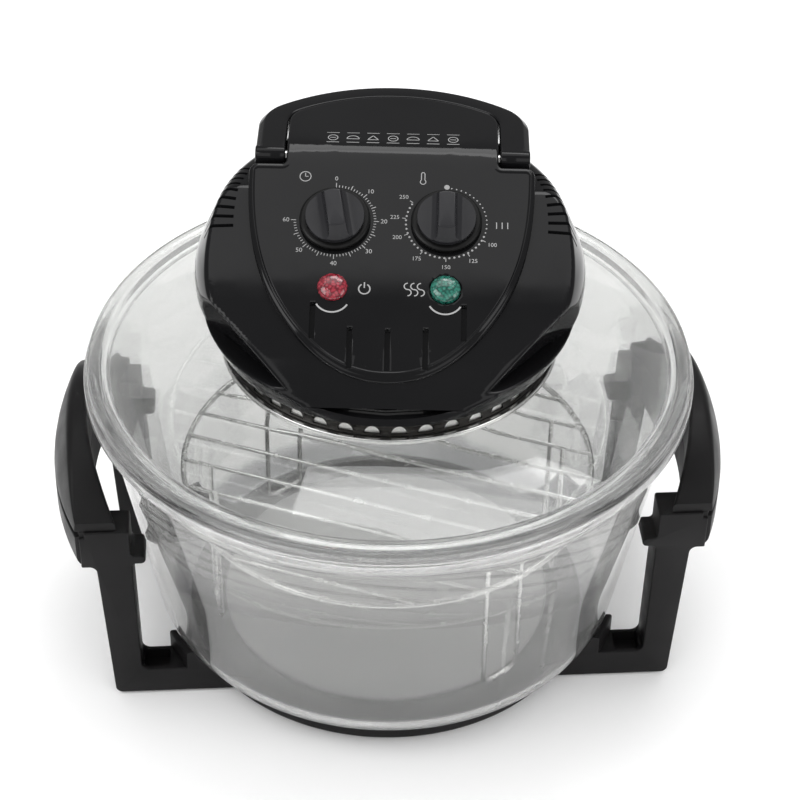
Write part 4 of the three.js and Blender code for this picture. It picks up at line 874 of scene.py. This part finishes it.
# %% Knobs
KNOB_RADIUS, KNOB_LIFT, KNOB_TOP, DISH_TOP, BORE_LOW = 19.2, 0.6, 15.0, 4.6, -1.0
TIMER_REST = math.radians(10)
DISH = ((0, KNOB_LIFT), (18.7, KNOB_LIFT, 0.3), (KNOB_RADIUS, 1.8, 0.8), (19.0, 3.2, 0.7), (17.8, 3.8, 0.6),
        (0, 3.4))
BAR_SIDE = ((17.0, 2.0), (17.0, 6.8), (7.8, 5.4, 4.0), (4.9, 8.5, 4.0), (4.5, KNOB_TOP, 0.9))
BAR_LIMIT = ((0, 1), (15.7, 1), (15.9, 6.2, 1.2), (11.2, KNOB_TOP, 1.4), (0, KNOB_TOP))


def knob(name):
    dish = turned(name, rounded(DISH, 5), steps=96)
    mirrored = [(-x, *others) for x, *others in reversed(BAR_SIDE)]
    section = rounded([mirrored[-1], *BAR_SIDE, *mirrored[:-1]], 6)
    bar = slab("bar", section, -KNOB_RADIUS, KNOB_RADIUS, "Y")
    carve(bar, turned("limit", rounded(BAR_LIMIT, 6), steps=96), how="INTERSECT")
    carve(dish, bar, how="UNION")
    return carve(dish, rod("bore", SHAFT_RADIUS + GAP, BORE_LOW, BORE_TOP, 32))


level_again = Matrix.Rotation(-SLOPE, 3, "X")
panel_height = (level_again @ Vector((0, CREASE_Y, TOP_Z))).z
for name, side, rest in (("timer", -1, TIMER_REST), ("thermostat", 1, 0.0)):
    piece = spun(knob(f"{name}_dial"), rest)
    on_panel(piece, side * KNOB_X, KNOB_DOWN)
    dressed(piece, knob_black, name, "satin_black", f"{name}_knob", smooth=40)
    piece.data.materials.append(dish_black)
    for face in piece.data.polygons:
        height = (level_again @ face.center).z - panel_height * MM
        face.material_index = int(height < DISH_TOP * MM)

# %% Lamps
CROWN_FOOT, CROWN_RISE, LENS_LOW, LENS_CORE = 0.8, 3.0, -1.9, 4.96
LAMPS = (("power", -1, red_jewel, "red_lens"), ("heat", 1, green_jewel, "green_lens"))
for name, side, material, slot in LAMPS:
    angles = np.linspace(0, math.pi / 2, 9)
    crown = [(LENS_RADIUS * math.cos(a), CROWN_FOOT + CROWN_RISE * math.sin(a)) for a in angles]
    foot = [(0, LENS_LOW), (LENS_CORE, LENS_LOW), (LENS_RADIUS, LENS_LOW)]
    lens = on_panel(turned(f"{name}_jewel", foot + crown, steps=64), side * KNOB_X, LAMP_DOWN)
    dressed(lens, material, "lid_and_head", slot, f"{name}_lens", smooth=50)

# %% [markdown]
# ## The carry handle
# It folds back over the hood on two pins: an arch of one rounded section, with a round boss at each foot.

# %% Handle
HANDLE_HALF, HANDLE_REAR, HANDLE_CORNER, HANDLE_WIDE = 75.5, 108.5, 24.0, 13.0
LEG_WIDE, CORNER_LESS = 16.6, 9.4
HANDLE_LOW, HANDLE_HIGH, PIVOT_Y = 287.3, 298.8, 40.0
PIVOT_Z, TALL = (HANDLE_LOW + HANDLE_HIGH) / 2, HANDLE_HIGH - HANDLE_LOW
HANDLE_ROUND, CROWN_ROUND, CHAMFER_IN, CHAMFER_DOWN = 1.2, 1.5, 2.6, 3.2
BOSS_REACH, BOSS_EASE, PIN_RADIUS, PIN_SEAT = 2.0, 1.0, 3.0, 4.0
LEG_SHARES = (0, 0.25, 0.5, 0.75)


def handle_run(inset, height):
    """A line round the arch, drawn in from its outside and lifted to a height."""
    share = inset / HANDLE_WIDE
    half, corner = HANDLE_HALF - LEG_WIDE * share, HANDLE_CORNER - CORNER_LESS * share
    line = [(x, y, height) for x, y in arched(half, HANDLE_REAR - inset, corner, PIVOT_Y, LEG_SHARES, 14)]
    return line + [(-x, y, z) for x, y, z in reversed(line[:-1])]


section = rounded([
    (0, 0, HANDLE_ROUND), (HANDLE_WIDE, 0, HANDLE_ROUND), (HANDLE_WIDE, TALL, CROWN_ROUND),
    (CHAMFER_IN, TALL, HANDLE_ROUND), (0, TALL - CHAMFER_DOWN, HANDLE_ROUND)], 5)
runs = np.array([handle_run(inset, HANDLE_LOW + up) for inset, up in section])
handle = fan_of("fold_handle", runs.transpose(1, 0, 2))
for side in (-1, 1):
    low, high = (PIVOT_Y + BOSS_REACH, HANDLE_LOW), (PIVOT_Y + BOSS_REACH, HANDLE_HIGH)
    outline = [low, high, *arc(TALL / 2, math.pi / 2, 3 * math.pi / 2, 24, (PIVOT_Y, PIVOT_Z))]
    x = sorted((side * HANDLE_HALF, side * (HANDLE_HALF - LEG_WIDE)))
    carve(handle, eased(slab("boss", outline, *x, "X"), BOSS_EASE, 3, 60), how="UNION")
pin_round = arc(PIN_RADIUS + GAP, 0, 2 * math.pi, 32, (PIVOT_Y, PIVOT_Z))[:-1]
pins = []
for side in (-1, 1):
    x = sorted((side * (HOOD_HALF - GAP), side * (HANDLE_HALF - PIN_SEAT + GAP)))
    pins.append(slab("pin", pin_round, *x, "X"))
carve(handle, gathered("pins", pins))
dressed(handle, gloss_black, "handle", "gloss_black", "carry_handle", smooth=40)

# %% [markdown]
# ## Print
# Thin light-grey ink: a minute scale, a scale of degrees, plain numbers and a few plain signs. Each mark is a
# flat outline drawn on the console, x to the right and y up the slope, in millimetres from the crease.

# %% Marks
INK_LOW, INK_HIGH, DIGIT_HALF, DIGIT_LIFT, FINE_MERGE = -0.05, 0.07, 0.06, 0.01, 0.0001
marks = []


def mark(outline):
    marks.append(slab("mark", outline, INK_LOW, INK_HIGH))


def stroke(start, end, width):
    way = (Vector(end) - Vector(start)).normalized() * (width / 2)
    side = Vector((-way.y, way.x))
    a, b = Vector(start), Vector(end)
    mark([tuple(a + side), tuple(a - side), tuple(b - side), tuple(b + side)])


def bow(centre, radius, start, end, width, steps=24):
    outer = arc(radius + width / 2, start, end, steps, centre)
    mark(outer + arc(radius - width / 2, end, start, steps, centre))


def ring(centre, radius, width):
    for start in (0, math.pi):
        bow(centre, radius, start, start + math.pi, width, 18)


def dot(centre, radius, steps):
    mark(arc(radius, 0, 2 * math.pi, steps, centre)[:-1])


def number(text, centre, height):
    deselect()
    bpy.ops.object.text_add()
    label = bpy.context.object
    label.data.body = text
    label.data.align_x, label.data.align_y = "CENTER", "CENTER"
    label.data.size = height
    label.data.extrude = DIGIT_HALF
    label.data.resolution_u = 3
    bpy.ops.object.convert(target="MESH")
    label.data.transform(Matrix.Translation((*centre, DIGIT_LIFT)))
    tidy_mesh(label, FINE_MERGE)
    marks.append(label)


def clock(x, y, angle, radius):
    """A place round a dial, with the angle taken clockwise from the top."""
    return x + radius * math.sin(math.radians(angle)), y + radius * math.cos(math.radians(angle))


# %% Minute scale
TICK_IN, TICK_OUT, TICK_LONG, THIN = 20.9, 22.3, 23.7, 0.42
MINUTES, MINUTE_TURN, MINUTE_AT, MINUTE_HIGH = 60, 4.5, 26.4, 3.7
dial = -KNOB_X, -KNOB_DOWN
for minute in range(MINUTES + 1):
    turn = minute * MINUTE_TURN
    reach = TICK_LONG if minute % 5 == 0 else TICK_OUT
    stroke(clock(*dial, turn, TICK_IN), clock(*dial, turn, reach), THIN)
    if minute % 10 == 0:
        number(str(minute), clock(*dial, turn, MINUTE_AT), MINUTE_HIGH)
print("minute marks:", len(marks))

# %% Scale of degrees
DEGREES = ((118, "100"), (148, "125"), (180, "150"), (215, "175"), (250, "200"), (276, "225"), (304, "250"))
REST_DOT, REST_AT, DOT_SMALL, DOT_LARGE, LARGE_FROM = 1.5, 22.4, 0.42, 0.58, 110
DOTS, DOTS_AT, DOT_TURN = 43, 21.8, 7.0
MARK_IN, MARK_OUT, DEGREE_LOW_AT, DEGREE_AT, DEGREE_HIGH, LOW_TURN = 22.0, 24.0, 27.4, 28.0, 3.4, 40
dial = KNOB_X, -KNOB_DOWN
dot(clock(*dial, 0, REST_AT), REST_DOT, 24)
for step in range(1, DOTS + 1):
    turn = step * DOT_TURN
    dot(clock(*dial, turn, DOTS_AT), DOT_SMALL if turn < LARGE_FROM else DOT_LARGE, 12)
for turn, text in DEGREES:
    stroke(clock(*dial, turn, MARK_IN), clock(*dial, turn, MARK_OUT), THIN)
    reach = DEGREE_LOW_AT if abs(turn - 180) < LOW_TURN else DEGREE_AT
    number(text, clock(*dial, turn, reach), DEGREE_HIGH)
print("marks so far:", len(marks))

# %% [markdown]
# The signs say only what each control does: a clock face for the timer, a thermometer for the heat, a mains
# sign and three waves beside the lamps. All are short strokes and bows, so two tables hold most of them.

# %% Signs: a clock face, a thermometer, three strokes, an arc under each lamp, a mains sign and waves
HALF_TURN = 180
SIGN_RING = ((-47, -18.5), 3.0, 0.5)
SIGN_STROKES = (
    (-47, -18.5, -47, -16.3, 0.45), (-47, -18.5, -45.4, -18.5, 0.45),
    (16.05, -19.4, 16.05, -15.5, 0.45), (17.95, -19.4, 17.95, -15.5, 0.45),
    (57, -49, 57, -45, 0.5), (60, -49, 60, -45, 0.5), (63, -49, 63, -45, 0.5), (-13, -86.9, -13, -83.5, 0.7))
SIGN_BOWS = (
    (17, -20.5, 1.5, 130, 410, 0.45, 24), (17, -15.5, 0.95, 0, 180, 0.45, 24),
    (-30, -92.4, 9.4, 210, 330, 0.9, 24), (30, -92.4, 9.4, 210, 330, 0.9, 24),
    (-13, -87.5, 3.0, 120, 420, 0.7, 28))
WAVES_X, WAVE_BOWS, WAVE_RADIUS, WAVE_INK = (10, 13.5, 17), ((-89.2, -90), (-85.4, 90)), 1.9, 0.6


def strokes(rows, x=0):
    """Straight marks. Each row is the start, the end and the width of its ink."""
    for x0, y0, x1, y1, width in rows:
        stroke((x + x0, y0), (x + x1, y1), width)


ring(*SIGN_RING)
strokes(SIGN_STROKES)
for x, y, radius, start, end, width, steps in SIGN_BOWS:
    bow((x, y), radius, math.radians(start), math.radians(end), width, steps)
for x in WAVES_X:
    for y, start in WAVE_BOWS:
        bow((x, y), WAVE_RADIUS, math.radians(start), math.radians(start + HALF_TURN), WAVE_INK, 14)
panel_print = on_panel(gathered("console_print", marks), 0, 0)
dressed(panel_print, print_ink, "lid_and_head", "white_plastic", smooth=20)

# %% [markdown]
# The row on the hood is seven plain shapes between two lines each. Rings, bows and triangles take turns.

# %% Row of signs on the hood
marks = []
ROW_AT, ROW_SCALE, ROW_PITCH, ROW_INK = 49.0, 1.15, 9.6, 0.4
RING_RADIUS, BOW_RADIUS, BOW_DOWN, BOW_START = 2.3, 3.0, 1.2, 0.2
LINES = ((-3, -4, 3, -4, 0.35), (-3, 4.4, 3, 4.4, 0.3))
SHAPES = (
    ((-1.4, 0, 1.4, 0, ROW_INK),),
    ((-3, -0.9, 3, -0.9, ROW_INK),),
    ((-2.6, -1.4, 0, 2.2, ROW_INK), (0, 2.2, 2.6, -1.4, ROW_INK), (-2.6, -1.4, 2.6, -1.4, ROW_INK)))
for n in range(-3, 4):
    x = n * ROW_PITCH
    if n % 3 == 0:
        ring((x, 0), RING_RADIUS, ROW_INK)
    if n % 3 == 1:
        bow((x, -BOW_DOWN), BOW_RADIUS, BOW_START, math.pi - BOW_START, ROW_INK, 18)
    strokes(SHAPES[n % 3] + LINES, x)
row = gathered("hood_print", marks)
moved_by(row, Matrix.Translation((0, ROW_AT, TOP_Z)) @ Matrix.Diagonal((ROW_SCALE, ROW_SCALE, 1, 1)))
dressed(row, print_ink, "lid_and_head", "white_plastic", smooth=20)

# %% [markdown]
# ## The stand
# One black moulding: a ring under the bowl, two bars with open pockets, four uprights with a peg each, and
# the blocks that carry the grips. It is drawn square and turned a little at the end.

# %% Base ring, bars and uprights
RING_OUTER, RING_INNER, BAR_NEAR, BAR_FAR, BAR_EASE = 121.0, 96.0, 56.0, 75.5, 0.9
LUG_HIGH, LUG_LOW, LUG_WALL, LUG_ROUND, LUG_SIDE, LUG_CLEAR, LUG_CUT = 32.0, 15.0, 3.5, 2.0, 147.0, 0.05, 50
POCKET_FAR, POCKET_SIDE, POCKET_LOW, POCKET_CUT, POCKET_ROUND = 145.5, 2.6, 12.5, 40.0, 2.0
BLOCK_LOW, BLOCK_HIGH, GRIP_INNER, GRIP_OUTER, GRIP_REACH = 101.0, 127.0, 172.0, 192.9, 74.0
HOLE_LOW, HOLE_HIGH, ROOM_END = -5.0, 60.0, 162.4
BASE_RING = ((RING_INNER, 1.5, 0.8), (RING_OUTER, 1.5, 2.5), (RING_OUTER, 9.5, 0.8), (RING_INNER, 9.5, 0.8))
SIDE = ((0, 1.5), (163.0, 1.5, 4.0), (167.8, 101.2, 6.0), (176.0, 101.2), (176.0, 123.0), (173.0, 123.0),
        (173.0, BLOCK_HIGH, 1.0), (148.0, BLOCK_HIGH, 1.5), (148.0, 109.0, 2.5), (140.0, 109.0, 2.9),
        (140.0, 103.0, 2.9), (147.9, 103.0, 2.5), (147.0, 19.5, 5.0), (0, 19.5))

base_ring = turned("stand_ring", rounded(BASE_RING), 160)
room = [(radius + GAP, height - GAP / 2) for radius, height in outer]
room = [(0, FLOOR_Z - GAP), *room, (ROOM_END, WALL_TOP[1]), (0, WALL_TOP[1])]
bowl_room = turned("bowl_room", room, steps=192)
half_outline = rounded(SIDE, 6)
whole_outline = half_outline[:-1] + [(-x, z) for x, z in reversed(half_outline[1:-1])]
lug_inner, lug_outer = RING_OUTER - LUG_WALL, bowl_wall_at(LUG_HIGH) + LUG_WALL
lug_outline = rounded([(lug_inner, LUG_LOW), (lug_outer, LUG_LOW), (lug_outer, LUG_HIGH, LUG_ROUND),
                       (lug_inner, LUG_HIGH)])
pieces = []
for front in (-1, 1):
    y = sorted((front * BAR_NEAR, front * BAR_FAR))
    bar = eased(slab("bar", whole_outline, *y, "Y"), BAR_EASE, 3, 50)
    lug = turned("lug", lug_outline, 160)
    limit = box("limit", (-LUG_SIDE, LUG_SIDE), (y[0] + LUG_CLEAR, y[1] - LUG_CLEAR), (0, LUG_CUT))
    carve(lug, limit, how="INTERSECT")
    carve(bar, lug, how="UNION")
    pockets = []
    for side in (-1, 1):
        x = sorted((side * POCKET_FAR, side * math.sqrt(lug_outer ** 2 - BAR_NEAR ** 2)))
        near, far = y[0] + POCKET_SIDE, y[1] - POCKET_SIDE
        corners = [(a, b, POCKET_ROUND) for a, b in ((x[0], near), (x[1], near), (x[1], far), (x[0], far))]
        pockets.append(slab("pocket", rounded(corners, 4), POCKET_LOW, POCKET_CUT))
    ring_hole = rod("ring_hole", (RING_INNER + RING_OUTER) / 2, HOLE_LOW, HOLE_HIGH, 128)
    pieces.append(carve(bar, gathered("pockets", pockets), ring_hole))
print("bars:", len(pieces))

# %% Blocks under the grips
BLOCK = ((GRIP_INNER, BLOCK_LOW, 1.0), (GRIP_OUTER, BLOCK_LOW, 7.0), (GRIP_OUTER, 123.6, 1.2),
         (190.5, 123.8, 0.4), (190.5, BLOCK_HIGH), (GRIP_INNER, BLOCK_HIGH, 1.0))
BLOCK_CUT_X, BLOCK_CUT_Z, BLOCK_EASE = (100, 210), (90, 140), 2.5
for side in (-1, 1):
    band = turned("block", rounded(BLOCK), 192)
    x = sorted(side * end for end in BLOCK_CUT_X)
    limit = eased(box("limit", x, (-GRIP_REACH, GRIP_REACH), BLOCK_CUT_Z), BLOCK_EASE, 4, 30)
    pieces.append(carve(band, limit, how="INTERSECT"))

stand = carve(pieces[0], *pieces[1:], base_ring, how="UNION")
carve(stand, bowl_room)
spun(stand, STAND_TURN)
sides = ("side_frame_left", "side_frame_right")
dressed(stand, satin_black, "stand", "satin_black", "stand_base", *sides, smooth=40)

# %% [markdown]
# Each grip is a cap that arches along the block. Its section changes from end to end: the outer face leans in
# as the cap rises, and the brow is rounded as much as the height allows.

# %% Grips: arched caps with a sloping outer face
GRIP_LOW, GRIP_END, GRIP_CROWN, ARCH_POWER = BLOCK_HIGH + GAP, 133.0, 160.0, 2.6
GRIP_FACE, LEAN, LEAN_POWER, BROW_MOST, BROW_SHARE, GRIP_EASE = 192.7, 10.0, 1.7, 7.0, 0.42, 1.2
INNER_FOOT, OUTER_FOOT, INNER_TOP = 0.8, 1.0, 2.4
SIDE_SHARES, STATIONS = (0.2, 0.4, 0.6, 0.8), 56


def grip_section(top):
    tall, full = top - GRIP_LOW, GRIP_CROWN - GRIP_LOW

    def face(share):
        return GRIP_FACE - LEAN * (tall * share / full) ** LEAN_POWER, GRIP_LOW + tall * share

    brow = (face(1)[0], top, min(BROW_MOST, tall * BROW_SHARE))
    foot = [(GRIP_INNER, GRIP_LOW, INNER_FOOT), (GRIP_OUTER, GRIP_LOW, OUTER_FOOT)]
    return rounded([*foot, *[face(share) for share in SIDE_SHARES], brow, (GRIP_INNER, top, INNER_TOP)], 6)


for side, word in ((-1, "left"), (1, "right")):
    rings = []
    for share in np.linspace(-1, 1, STATIONS + 1):
        y = share * GRIP_REACH
        top = GRIP_END + (GRIP_CROWN - GRIP_END) * (1 - abs(share) ** ARCH_POWER)
        rings.append([(side * math.sqrt(rho ** 2 - y ** 2), y, z) for rho, z in grip_section(top)])
    grip = eased(fan_of(f"grip_cap_{word}", rings), GRIP_EASE, 3, 60)
    spun(grip, STAND_TURN)
    dressed(grip, satin_black, "stand", "satin_black", f"grip_{word}", smooth=40)

# %% [markdown]
# ## The rack
# Round wire, welded: a ring, eleven bars over it, and four legs bent from one wire each.

# %% Wire
CAP_SHARES, CAP_LONG_SHARE, CUT_SHARE = (0.35, 0.75, 0.97), 0.6, 0.25


def softened(points, times=3):
    """Cut the corners of a path again and again, so that the wire bends and doesn't kink."""
    path = np.array(points, dtype=float)
    for _ in range(times):
        near = path[:-1] * (1 - CUT_SHARE) + path[1:] * CUT_SHARE
        far = path[:-1] * CUT_SHARE + path[1:] * (1 - CUT_SHARE)
        path = np.vstack((path[:1], np.stack((near, far), axis=1).reshape(-1, 3)[1:-1], path[-1:]))
    return path


def wire(name, path, radius, sides=12):
    """A round wire along a path, with domed ends."""
    path = np.array(path, dtype=float)
    ways = np.gradient(path, axis=0)
    ways /= np.linalg.norm(ways, axis=1, keepdims=True)
    out = Vector(ways[0]).orthogonal().normalized()
    rings = []
    for i, (spot, way) in enumerate(zip(path, ways)):
        spot, way = Vector(spot), Vector(way)
        out = (out - way * out.dot(way)).normalized()
        across = way.cross(out)
        angles = np.linspace(0, 2 * math.pi, sides, endpoint=False)
        circle = [(out * math.cos(a) + across * math.sin(a)) * radius for a in angles]
        rings.append([tuple(spot + p) for p in circle])
        if i in (0, len(path) - 1):
            back = -1 if i == 0 else 1
            caps = []
            for share in CAP_SHARES:
                centre = spot + way * (back * radius * CAP_LONG_SHARE * share)
                shrink = math.sqrt(1 - share * share)
                caps.append([tuple(centre + p * shrink) for p in circle])
            rings = caps[::-1] + rings if i == 0 else rings + caps
    return fan_of(name, rings)


# %% Rack
RACK_RADIUS, RACK_TOP, RING_WIRE, BAR_WIRE, LEG_WIRE = 119.5, 109.0, 1.75, 1.2, 1.5
BAR_PITCH, LEG_RADIUS, RACK_TURN = 21.5, 104.0, math.radians(-18)
BAR_Z = RACK_TOP + RING_WIRE
FOOT_Z = FLOOR_Z + WALL + GAP + LEG_WIRE
LEG_BEND, LEG_STRAIGHT, BEND_SHARE = 3.0, 11.0, 0.1
LEG_LOW, LEG_HIGH = FOOT_Z + LEG_BEND, FOOT_Z + LEG_STRAIGHT
deselect()
bpy.ops.mesh.primitive_torus_add(
    major_radius=RACK_RADIUS, minor_radius=RING_WIRE, major_segments=160, minor_segments=14)
wires = [moved_by(named("ring"), Matrix.Translation((0, 0, RACK_TOP)))]
for n in range(-5, 6):
    y = n * BAR_PITCH
    half = math.sqrt(RACK_RADIUS ** 2 - y ** 2)
    wires.append(wire("bar", [(-half, y, BAR_Z), (0, y, BAR_Z), (half, y, BAR_Z)], BAR_WIRE, 10))
for side in (-1, 1):
    for end in (-1, 1):
        bars = (2 * BAR_PITCH, 3 * BAR_PITCH)
        first, second = [(end * math.sqrt(LEG_RADIUS ** 2 - y ** 2), side * y) for y in bars]
        near = [a * (1 - BEND_SHARE) + b * BEND_SHARE for a, b in zip(first, second)]
        far = [a * BEND_SHARE + b * (1 - BEND_SHARE) for a, b in zip(first, second)]
        down = [(*first, height) for height in (BAR_Z, LEG_HIGH, LEG_LOW)]
        up = [(*second, height) for height in (LEG_LOW, LEG_HIGH, BAR_Z)]
        wires.append(wire("leg", softened([*down, (*near, FOOT_Z), (*far, FOOT_Z), *up]), LEG_WIRE))
rack = gathered("rack_wires", wires)
spun(rack, RACK_TURN)
dressed(rack, wire_steel, "rack", "steel", "wire_rack", smooth=60)

# %% [markdown]
# ## What the drawing already shapes well
# The hidden works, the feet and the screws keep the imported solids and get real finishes.

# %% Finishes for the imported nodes
KEPT = {
    "gloss_black": gloss_black, "satin_black": satin_black, "steel": steel, "dark_steel": band_steel,
    "rubber": rubber, "glass": glass, "red_lens": red_jewel, "green_lens": green_jewel, "quartz": quartz,
    "ceramic": ceramic, "copper": copper, "white_plastic": white_plastic,
}
for name, node in frame["nodes"].items():
    packed = node.material_slots[0].material.name.split(".")[0] if node.material_slots else "none"
    if packed not in KEPT:
        print("no finish for", name, packed)
        continue
    for socket in node.material_slots:
        socket.material = KEPT[packed]
print("finishes for packed nodes:", len(KEPT))

# %% [markdown]
# ## The studio
# A plain pale floor, a white world that gloss sees dimmed, and six soft boxes. One hangs over the console,
# one stands behind the oven, one on each side and two in front, so the black gloss shows a lit face, a dark
# middle and lighter sides. Places and sizes are in metres here.

# %% Floor
FLOOR_WIDE, FLOOR_GREY, FLOOR_ROUGH = 6.0, 0.95, 0.6
bpy.ops.mesh.primitive_plane_add(size=FLOOR_WIDE, location=(0, 0, 0))
floor = named("studio_floor")
floor_white = finish("floor_white", (FLOOR_GREY, FLOOR_GREY, FLOOR_GREY), FLOOR_ROUGH)[0]
floor.data.materials.append(floor_white)
print("floor:", FLOOR_WIDE, "m wide")

# %% World
SKY, SKY_IN_GLOSS = 1.0, 0.3
world = bpy.data.worlds.new("studio_air")
bpy.context.scene.world = world
world.use_nodes = True
air = world.node_tree
background = air.nodes["Background"]
background.inputs["Color"].default_value = (1, 1, 1, 1)
ray = added(air, "ShaderNodeLightPath")
dimmed = added(air, "ShaderNodeMath", {1: SKY_IN_GLOSS - SKY, 2: SKY})
dimmed.operation = "MULTIPLY_ADD"
air.links.new(ray.outputs["Is Glossy Ray"], dimmed.inputs[0])
air.links.new(dimmed.outputs["Value"], background.inputs["Strength"])
print("the sky is", SKY, "and in gloss", SKY_IN_GLOSS)

# %% Lights, each with its place, its aim, its width and height, and its power in watts
BOXES = (
    ("key_box", (-0.9, -0.5, 1.3), (0, 0, 0.18), (0.8, 0.8), 6),
    ("fill_box", (1.2, -0.6, 0.9), (0, 0, 0.16), (0.7, 0.9), 4),
    ("back_box", (0.3, 1.0, 1.9), (0, 0, 0.2), (1.2, 0.5), 7),
    ("top_box", (0, 0.34, 1.35), (0, 0.34, 0), (1.1, 0.62), 2.6),
    ("front_strip", (-0.42, -1.2, 1.4), (-0.42, 0, 0.2), (0.5, 1.0), 1.5),
    ("front_strip", (0.42, -1.2, 1.4), (0.42, 0, 0.2), (0.5, 1.0), 1.5),
)
for name, place, aim, size, power in BOXES:
    bpy.ops.object.light_add(type="AREA", location=place)
    light = bpy.context.object
    light.name = name
    light.data.shape = "RECTANGLE"
    light.data.size, light.data.size_y = size
    light.data.energy = power
    light.visible_camera = False
    light.rotation_euler = (Vector(aim) - Vector(place)).to_track_quat("-Z", "Y").to_euler()
bpy.context.scene.view_settings.view_transform = "Standard"
print("soft boxes:", len(BOXES))
